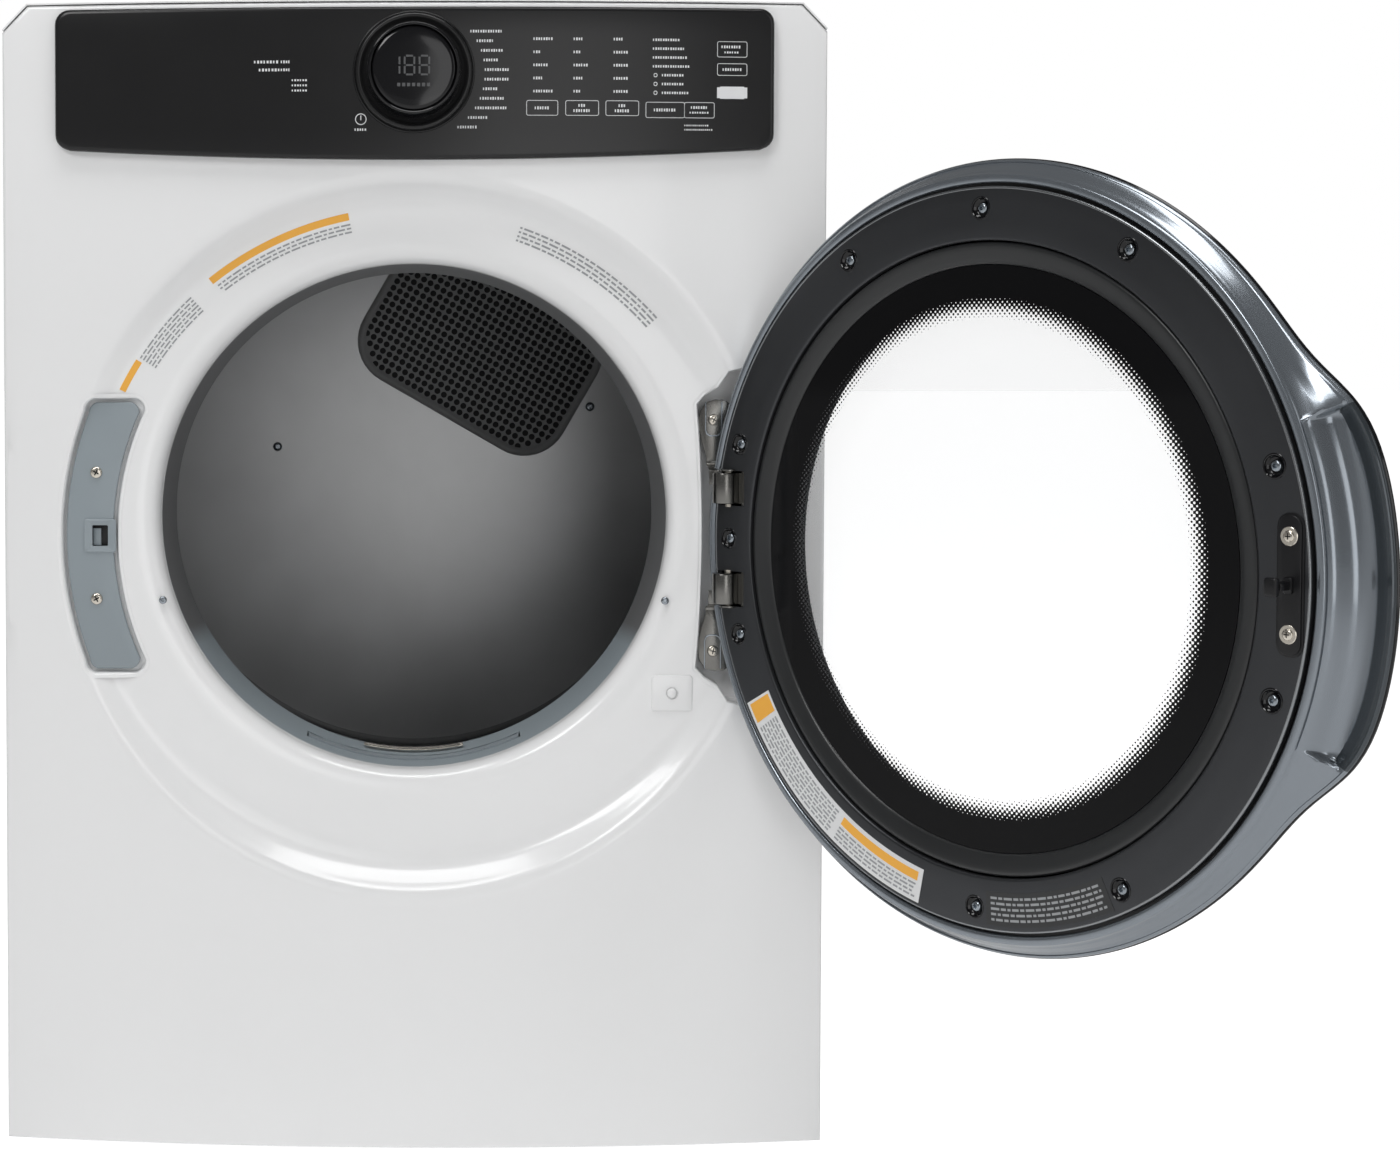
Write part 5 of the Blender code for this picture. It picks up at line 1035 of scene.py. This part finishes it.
# ---------------------------------------------------------------- hinge
hinge_floor = CROWN + HINGE_POCKET
KNUCKLE = 0.0415                                 # each knuckle's middle, above and below the ring's centre
for end, side in (("upper", 1), ("lower", -1)):
    def at(points):
        return [(x, RING_Z + side * z) for x, z in points]

    foot = at([(0.2445, 0.112), (0.2395, 0.104), (0.2375, 0.094), (0.2410, 0.078), (0.2448, 0.066),
               (0.2448, 0.061), (0.2620, 0.061), (0.2650, 0.082), (0.2668, 0.098), (0.2650, 0.110),
               (0.2600, 0.1135), (0.2520, 0.1140)])
    leaf = plate(f"hinge_foot_{end}", foot, hinge_floor - 0.0150, hinge_floor - 0.0130, 0.0006)
    done(leaf, "cabinet", HINGE_STEEL, ["hinge_frame_leaf"] if side > 0 else ())
    rib_outline = at([(0.2435, 0.112), (0.2435, 0.088), (0.2450, 0.0845), (0.2480, 0.083), (0.2535, 0.083),
                      (0.2565, 0.0845), (0.2580, 0.088), (0.2580, 0.112), (0.2570, 0.112), (0.2570, 0.0885),
                      (0.2558, 0.0855), (0.2532, 0.0842), (0.2484, 0.0842), (0.2458, 0.0855), (0.2446, 0.0885),
                      (0.2446, 0.112)])
    rib = plate(f"hinge_rib_{end}", rib_outline, hinge_floor - 0.0158, hinge_floor - 0.0148, 0.0003)
    done(rib, "cabinet", SCREW_STEEL)
    spacer = plate(f"hinge_pad_{end}", at([(0.2480, 0.108), (0.2430, 0.100), (0.2440, 0.085), (0.2500, 0.066),
                                           (0.2540, 0.066), (0.2560, 0.085), (0.2560, 0.100), (0.2540, 0.108)]),
                   hinge_floor - 0.0130, hinge_floor, 0.001)
    done(spacer, "cabinet", HINGE_STEEL)
    web_section = ((0.2448, 0.0), (0.2530, -0.0003), (0.2612, 0.0), (0.2612, 0.0018), (0.2448, 0.0018))
    web_rings = []
    for z, rise in ((0.0625, 0.0150), (0.0605, 0.0150), (0.0590, 0.0190), (0.0580, 0.0270), (0.0570, 0.0320),
                    (0.0555, 0.0360), (0.0440, 0.0370)):
        web_rings.append([Vector((x, hinge_floor - rise + back, RING_Z + side * z)) for x, back in web_section])
    web = loft(f"hinge_web_{end}", web_rings, cap_first=True, cap_last=True)
    soften(web, 0.0005, 2, 50)
    done(web, "cabinet", HINGE_STEEL, smooth=40)
    middle = side * KNUCKLE
    knuckle = loft(f"hinge_knuckle_{end}", [
        upright_hoop(radius, HINGE.x - 0.0030, HINGE.y + 0.0005, RING_Z + middle + z, 64) for z, radius in (
            (-0.0127, 0.0093), (-0.0122, 0.0102), (-0.0114, 0.0105), (0.0114, 0.0105), (0.0122, 0.0102),
            (0.0127, 0.0093))], cap_first=True, cap_last=True)
    done(knuckle, "cabinet", HINGE_STEEL, smooth=40)
    strap = block(f"hinge_strap_{end}", (-0.0210, -0.0072, middle - 0.0120), (-0.0040, -0.0040, middle + 0.0120),
                  0.0008, 3)
    done(swung(strap), "door", HINGE_STEEL, smooth=40)
    eye = loft(f"hinge_eye_{end}", [upright_hoop(radius, HINGE.x, HINGE.y, RING_Z + middle + side * z, 40)
                                    for z, radius in ((0.0138, 0.0066), (0.0142, 0.0074), (0.0155, 0.0074),
                                                      (0.0159, 0.0066))], cap_first=True, cap_last=True)
    done(eye, "cabinet", HINGE_STEEL, smooth=40)
HINGE_SCREWS = [(Vector((0.2510, hinge_floor - 0.0152, RING_Z + 0.097)), 0.5),
                (Vector((0.2510, hinge_floor - 0.0152, RING_Z - 0.097)), 0.2)]
screws_at("hinge_screws", NICKEL, HINGE_SCREWS, cross_screw, 0.95)
# Black crosses in the hinge screws' recesses: painted shade.
screws_at("hinge_screw_slots", GLOSS_BLACK, HINGE_SCREWS, cross_mark, 0.95)


# ---------------------------------------------------------------- door
GRIP_REACH = 0.030


def handle_at(angle):
    """How far the grip swells the door's rim at an angle from the latch."""
    return GRIP_REACH / (1 + math.exp((abs(angle) - 25.5) / 3.2))


POCKET_SIDE = (21.9, 22.2, 22.4, 22.6, 22.8, 23.1)   # extra angles for the finger pocket's end walls
DOOR_ANGLES = sorted([360 * i / 240 - 180 for i in range(240)] + [side * angle for angle in POCKET_SIDE
                                                                  for side in (1, -1)])


def door_ring(radius_at, offset_at):
    """A ring about the door's centre in the closed door's frame; the latch side is at angle 0."""
    ring = []
    for angle in DOOR_ANGLES:
        radius = radius_at(angle) if callable(radius_at) else radius_at
        offset = offset_at(angle) if callable(offset_at) else offset_at
        turn = math.radians(angle)
        ring.append(Vector((DOOR_CENTRE - radius * math.cos(turn), -offset, radius * math.sin(turn))))
    return ring


def door_moulding(name, profile, look, replaces=(), smooth=38):
    """A closed profile of (radius, offset) carried round the door."""
    piece = loft(name, [door_ring(radius, offset) for radius, offset in profile + profile[:1]])
    face_outwards(piece)
    return done(swung(piece), "door", look, replaces, smooth)


def grip(angle):
    """1 in the finger pocket and 0 outside it, with a steep wall at its ends."""
    return 1 - smooth_step((abs(angle) - 22.0) / 0.9)


def mixed(plain, pocket):
    """A profile value with its own course inside the finger pocket."""
    def value(angle):
        a = plain(angle) if callable(plain) else plain
        b = pocket(angle) if callable(pocket) else pocket
        return a + (b - a) * grip(angle)
    return value


def rim(extra, follow=1.0):
    return lambda angle: RIM + extra + follow * handle_at(angle)


band = [
    (0.2790, 0.0100), (0.2790, 0.0032), (0.2796, 0.0024), (0.2806, 0.0020), (0.2835, 0.0020), (0.2843, 0.0024),
    (0.2848, 0.0032), (0.2852, 0.0050),
    (mixed(0.2868, 0.2860), mixed(0.0066, 0.0048)),
    (mixed(rim(-0.0075, 0.30), 0.2880), mixed(0.0092, 0.0058)),
    (mixed(rim(-0.0070, 0.36), 0.2900), mixed(0.0100, 0.0078)),
    (mixed(rim(-0.0062, 0.45), 0.2922), mixed(0.0112, 0.0112)),
    (mixed(rim(-0.0056, 0.52), 0.2948), mixed(0.0122, 0.0152)),
    (mixed(rim(-0.0050, 0.60), 0.2975), mixed(0.0132, 0.0184)),
    (mixed(rim(-0.0040, 0.72), 0.3005), mixed(0.0144, 0.0204)),
    (mixed(rim(-0.0034, 0.80), 0.3040), mixed(0.0152, 0.0213)),
    (mixed(rim(-0.0028, 0.86), 0.3075), mixed(0.0158, 0.0212)),
    (mixed(rim(-0.0024, 0.90), rim(-0.0080, 0.80)), mixed(0.0162, 0.0204)),
    (mixed(rim(-0.0020, 0.94), rim(-0.0062, 0.88)), mixed(0.0164, 0.0190)),
    (mixed(rim(-0.0017, 0.97), rim(-0.0038, 0.95)), mixed(0.0166, 0.0172)),
    (rim(-0.0014), 0.0160), (rim(-0.0006), 0.0166), (rim(-0.0001), 0.0176), (rim(-0.0003), 0.0188),
    (rim(-0.0030), 0.0200)]
door_band = loft("door_band", [door_ring(radius, offset) for radius, offset in band])
thicken(door_band, 0.0012, 0)
# Faces on the finger pocket's outer wall take the darker copy of the band's finish: painted shade where that wall
# lies in shadow.
shaded = []
for face in door_band.data.polygons:
    across, rise = DOOR_CENTRE - face.center.x, face.center.z
    angle = math.degrees(math.atan2(rise, across))
    if abs(angle) < POCKET_END and math.hypot(across, rise) > rim(-0.0085, 0.80)(angle):
        shaded.append(face.index)
done(swung(door_band), "door", BLUE_GREY, ["door_outer_shell"], smooth=40)
door_band.data.materials.append(BLUE_PAINTED_SHADE)
for index in shaded:
    door_band.data.polygons[index].material_index = 1

door_moulding("door_edge_trim", [(rim(-0.0030), 0.0198), (rim(0.0004), 0.0190), (rim(0.0012), 0.0198),
                                 (rim(0.0012), 0.0212), (rim(-0.0004), 0.0220), (rim(-0.0030), 0.0218)],
              GLOSS_BLACK)


def lens_ring(share, bulge, thick):
    """One ring of the domed lens, at a share of its outline."""
    def dome(angle):
        return 0.0212 + 0.0188 * (1 - share ** 2) + bulge * handle_at(angle) / GRIP_REACH + thick
    return door_ring(lambda angle: (RIM - 0.0012 + handle_at(angle)) * share, dome)


lens = loft("outer_lens", [lens_ring(share, bulge, thick) for share, bulge, thick in (
    (1.0, 0.0, 0.0), (0.997, 0.0, 0.0014), (0.990, 0.005, 0.002), (0.975, 0.0095, 0.002), (0.95, 0.0115, 0.002),
    (0.90, 0.0115, 0.002), (0.82, 0.0085, 0.002), (0.72, 0.0045, 0.002), (0.60, 0.0012, 0.002), (0.45, 0.0, 0.002),
    (0.30, 0.0, 0.002), (0.15, 0.0, 0.002), (0.04, 0.0, 0.002))], cap_last=True)
thicken(lens, 0.0018, 1)
face_outwards(lens)
done(swung(lens), "door", OUTER_GLASS, ["door_outer_lens"], smooth=50)
door_moulding("lens_mask", [(0.2480, 0.0225), (0.2100, 0.0215), (0.2100, 0.0222), (0.2480, 0.0232)], GLOSS_BLACK)

# inner plate with notches for the hinge and dished screw seats
DOOR_SCREWS = (90, 120, 60, 162.5, 180, -162.5, 17.5, -17.5, -60, -90)
plate_profile = [(0.2362, 0.0058), (0.2362, 0.0016), (0.2366, 0.0007), (0.2374, 0.0002), (0.2386, 0.0),
                 (0.2500, 0.0), (0.2640, 0.0), (0.2736, 0.0), (0.2748, 0.0002), (0.2756, 0.0007), (0.2760, 0.0016),
                 (0.2760, 0.0056), (0.2742, 0.0056), (0.2742, 0.0022), (0.2386, 0.0022), (0.2386, 0.0058)]
door_plate = loft("door_plate", [door_ring(radius, offset)
                                 for radius, offset in plate_profile + plate_profile[:1]])
face_outwards(door_plate)
for side in (1, -1):
    cut(door_plate, plate("notch", rounded_box(0.0400, 0.0145, 0.0022, (0.0225, side * KNUCKLE)), -0.02, 0.02))
screw_spots = [Vector((x, 0, z)) for x, z in on_ring([(SCREW_CIRCLE, angle) for angle in DOOR_SCREWS], True)]
for spot in screw_spots:
    cut(door_plate, drill("seat_cut", 0.0076, 0.004, spot, 40))
done(swung(door_plate), "door", PLATE_GREY, ["door_inner_plate"], smooth=40)

seat = turned("seat", [(0.0074, 0.0001), (0.0080, 0.0005), (0.0086, 0.0004), (0.0089, 0.0), (0.0084, -0.0004),
                       (0.0076, -0.0012), (0.0066, -0.0028), (0.0054, -0.0036), (0.0, -0.0036), (0.0, -0.0044),
                       (0.0070, -0.0044), (0.0078, -0.0030)], (0, 0, 0), 48)
seats, heads = [], []
for angle, spot in zip(DOOR_SCREWS, screw_spots):
    seats.append(copy_at(seat, Matrix.Translation(spot)))
    heads.append(copy_at(star_screw, Matrix.Translation(spot - Vector((0, 0.0034, 0)))
                         @ Matrix.Rotation(math.pi, 4, 'Z') @ Matrix.Rotation(0.3 * angle, 4, 'Y')
                         @ Matrix.Scale(1.15, 4)))
bpy.data.objects.remove(seat)
done(swung(joined("screw_seats", seats)), "door", GLOSS_BLACK, smooth=40)
done(swung(joined("door_screws", heads)), "door", SCREW_STEEL, smooth=40)

# A thin lighter ring on the plate's rim: the rim is real, its brightness is a painted highlight.
door_moulding("plate_edge", [(0.2742, 0.0001), (0.2748, -0.0002), (0.2756, 0.0002), (0.2761, 0.0010),
                             (0.2761, 0.0018), (0.2742, 0.0018)], EDGE_PAINTED_HIGHLIGHT, smooth=60)

# groove and bezel around the inner glass
door_moulding("door_groove", [(0.2755, 0.0095), (0.2755, 0.0060), (0.2800, 0.0060), (0.2800, 0.0095)],
              BLACK_PLASTIC, ["door_chassis"])
door_moulding("window_bezel", [
    (0.2186, 0.0125), (0.2186, 0.0072), (0.2192, 0.0062), (0.2204, 0.0054), (0.2240, 0.0042), (0.2285, 0.0030),
    (0.2315, 0.0024), (0.2334, 0.0024), (0.2346, 0.0030), (0.2352, 0.0042), (0.2352, 0.0125)],
    BEZEL_GREY, ["door_window_bezel"], 40)
inner_glass = loft("inner_glass", [door_ring(radius, offset) for radius, offset in (
    (0.2183, 0.0108), (0.2183, 0.0068), (0.1500, 0.0068), (0.0800, 0.0068), (0.0100, 0.0068))], cap_last=True)
face_along(inner_glass, 1)
done(swung(inner_glass), "door", INNER_GLASS, ["door_inner_glass"], smooth=40)
door_moulding("glass_backing", [(0.2350, 0.0115), (0.2050, 0.0115), (0.2050, 0.0122), (0.2350, 0.0122)],
              BLACK_PLASTIC)
door_moulding("window_well", [(0.2070, 0.0118), (0.2070, 0.0300), (0.2095, 0.0300), (0.2095, 0.0118)],
              BLACK_PLASTIC)

# latch plate, its screws and the hook
latch_x = DOOR_CENTRE - 0.2615
latch = plate("latch_plate", rounded_box(0.0088, 0.0465, 0.0080, (latch_x, 0), 8), 0.0004, 0.0026, 0.0006, 3)
face_outwards(latch)
latch_rim = plate("latch_rim", rounded_box(0.0102, 0.0480, 0.0092, (latch_x, 0), 8), 0.0002, 0.0010, 0.0003)
face_outwards(latch_rim)
stem = block("hook_stem", (latch_x - 0.0022, 0.0020, -0.0030), (latch_x + 0.0022, 0.0245, 0.0030), 0.0008)
head = block("hook_head", (latch_x - 0.0048, 0.0195, -0.0062), (latch_x + 0.0046, 0.0248, 0.0062), 0.0016, 3)
flare = block("hook_flare", (latch_x - 0.0034, 0.0020, -0.0055), (latch_x + 0.0034, 0.0050, 0.0055), 0.0012)
cross = block("hook_cross", (latch_x - 0.0058, 0.0150, -0.0022), (latch_x + 0.0030, 0.0200, 0.0022), 0.0008)
done(swung(joined("latch_hook", [latch, latch_rim, stem, head, flare, cross])), "door", BLACK_PLASTIC,
     ["door_latch_hook"], smooth=40)
# The last of these, black crosses in the latch screws' recesses, is painted shade.
for name, pattern, look, lift, size in (("latch_washers", washer, NICKEL, 0.0026, 0.95),
                                        ("latch_screws", cross_screw, NICKEL, 0.0030, 0.80),
                                        ("latch_screw_slots", cross_mark, GLOSS_BLACK, 0.0031, 0.80)):
    copies = [copy_at(pattern, Matrix.Translation((latch_x, lift, z)) @ Matrix.Rotation(math.pi, 4, 'Z')
                      @ Matrix.Scale(size, 4)) for z in (0.0325, -0.0325)]
    done(swung(joined(name, copies)), "door", look, smooth=40)
for pattern in (cross_screw, cross_mark, star_screw, washer):
    bpy.data.objects.remove(pattern)

# plain labels on the plate
label("door_label", 0.2455, 0.2725, -150.5, -101.5, LABEL_WHITE, door=True)
label("door_label_head", 0.2490, 0.2560, -121.5, -102.5, LABEL_ORANGE, TYPE_LIFT, door=True)
label("door_label_tag", 0.2475, 0.2700, -150.0, -146.5, LABEL_ORANGE, TYPE_LIFT, door=True)
lines_of_type("door_label_type", 0.2480, 0.2705, -145.5, -123.0, 7, TYPE_LIFT, door=True)
lines_of_type("door_label_lines", 0.2575, 0.2705, -121.5, -102.5, 4, TYPE_LIFT, door=True)
label("dark_label", 0.2465, 0.2715, -87.5, -62.5, BEZEL_GREY, door=True)
lines_of_type("dark_label_type", 0.2490, 0.2690, -86.5, -63.5, 5, TYPE_LIFT, door=True)

# ---------------------------------------------------------------- finishes of the nodes that stay
for nodes, look in (
        (("left_side_panel", "right_side_panel", "top_panel"), ENAMEL),
        (("rear_panel", "base_pan", "rear_bulkhead", "heater_housing", "exhaust_duct"), ZINC),
        (("front_bulkhead",), COLLAR),
        (("lint_duct", "blower_housing"), SLATE),
        (("console_support", "door_switch", "blower_wheel", "idler_pulley", "terminal_block"), BLACK_PLASTIC),
        (("control_board",), BOARD_GREEN),
        (("hinge_door_leaf", "hinge_frame_leaf", "idler_arm", "idler_spring", "heater_coil"), HINGE_STEEL),
        (("hinge_pin_upper", "hinge_pin_lower", "roller_axle_left", "roller_axle_right", "motor_shaft"), NICKEL),
        (("drum_roller_left", "drum_roller_right", "drum_belt", "levelling_foot_front_left",
          "levelling_foot_front_right", "levelling_foot_rear_left", "levelling_foot_rear_right"), RUBBER),
        (("front_drum_seal", "rear_drum_seal"), FELT),
        (("drive_motor",), DARK_PAINT),
        (("lint_screen",), MESH),
        (("drum_light_lens",), LABEL_WHITE)):
    for node in nodes:
        mesh = frame["nodes"][node].data
        mesh.materials.clear()
        mesh.materials.append(look)

# ---------------------------------------------------------------- floor, light and camera
bpy.ops.object.select_all(action='DESELECT')
bpy.ops.mesh.primitive_plane_add(size=80, location=(0, 0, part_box("levelling_foot_front_left")[0][2]))
floor = named("studio_floor")
settle(floor)
floor_look = bpy.data.materials.new("pale floor")
floor_look.use_nodes = True
tree = floor_look.node_tree
floor_shader = tree.nodes["Principled BSDF"]
floor_shader.inputs["Base Color"].default_value = (0.90, 0.90, 0.90, 1)
floor_shader.inputs["Roughness"].default_value = 0.6
floor_shader.inputs["Emission Color"].default_value = (1.0, 1.0, 1.0, 1)
glow = tree.nodes.new("ShaderNodeMapRange")
glow.inputs["To Min"].default_value, glow.inputs["To Max"].default_value = 0.28, 0.92
tree.links.new(tree.nodes.new("ShaderNodeLightPath").outputs["Is Camera Ray"], glow.inputs["Value"])
tree.links.new(glow.outputs["Result"], floor_shader.inputs["Emission Strength"])
floor.data.materials.append(floor_look)


def area_light(name, place, target, width, height, power):
    lamp = bpy.data.lights.new(name, 'AREA')
    lamp.shape = 'RECTANGLE'
    lamp.size, lamp.size_y = width, height
    lamp.energy = power
    holder = bpy.data.objects.new(name, lamp)
    bpy.context.scene.collection.objects.link(holder)
    holder.location = place
    holder.rotation_euler = (Vector(target) - Vector(place)).to_track_quat('-Z', 'Y').to_euler()


area_light("key_light", (-1.8, -2.9, 3.0), (0.0, -0.3, 0.5), 1.2, 1.2, 39)
area_light("fill_light", (2.9, -2.2, 1.5), (0.2, -0.3, 0.5), 1.2, 2.0, 8)
area_light("front_light", (0.60, -3.5, 0.9), (0.4, -0.5, 0.5), 1.0, 1.6, 9)
area_light("top_light", (0.1, -1.0, 3.0), (0.1, -0.4, 0.4), 2.0, 0.8, 31)
world = bpy.context.scene.world or bpy.data.worlds.new("studio")
bpy.context.scene.world = world
world.use_nodes = True
tree = world.node_tree
tree.nodes.clear()
seen = tree.nodes.new("ShaderNodeBackground")
seen.inputs["Color"].default_value = (1.0, 1.0, 1.0, 1)
seen.inputs["Strength"].default_value = 1.0
around = tree.nodes.new("ShaderNodeBackground")
around.inputs["Color"].default_value = (1.0, 1.0, 1.0, 1)
rise = tree.nodes.new("ShaderNodeSeparateXYZ")
tree.links.new(tree.nodes.new("ShaderNodeTexCoord").outputs["Generated"], rise.inputs["Vector"])
level = tree.nodes.new("ShaderNodeMapRange")
level.interpolation_type = 'SMOOTHSTEP'
level.inputs["From Min"].default_value, level.inputs["From Max"].default_value = 0.0, 0.45
level.inputs["To Min"].default_value, level.inputs["To Max"].default_value = 0.22, 0.16
tree.links.new(rise.outputs["Z"], level.inputs["Value"])
tree.links.new(level.outputs["Result"], around.inputs["Strength"])
choice = tree.nodes.new("ShaderNodeMixShader")
tree.links.new(tree.nodes.new("ShaderNodeLightPath").outputs["Is Camera Ray"], choice.inputs["Fac"])
tree.links.new(around.outputs["Background"], choice.inputs[1])
tree.links.new(seen.outputs["Background"], choice.inputs[2])
tree.links.new(choice.outputs["Shader"], tree.nodes.new("ShaderNodeOutputWorld").inputs["Surface"])
bpy.context.scene.view_settings.view_transform = 'Standard'

camera_data = bpy.data.cameras.new("camera")
camera_data.sensor_fit = 'HORIZONTAL'
camera_data.sensor_width = 36.0
camera_data.lens = 64.63
camera_data.shift_x = 0.2293
camera_data.shift_y = -0.0927
camera_data.dof.use_dof = False
camera = bpy.data.objects.new("camera", camera_data)
bpy.context.scene.collection.objects.link(camera)
camera.location = (0.0012, -2.4399, 0.6648)
camera.rotation_euler = (math.radians(90 - 2.165), 0, math.radians(0.825))
bpy.context.scene.camera = camera
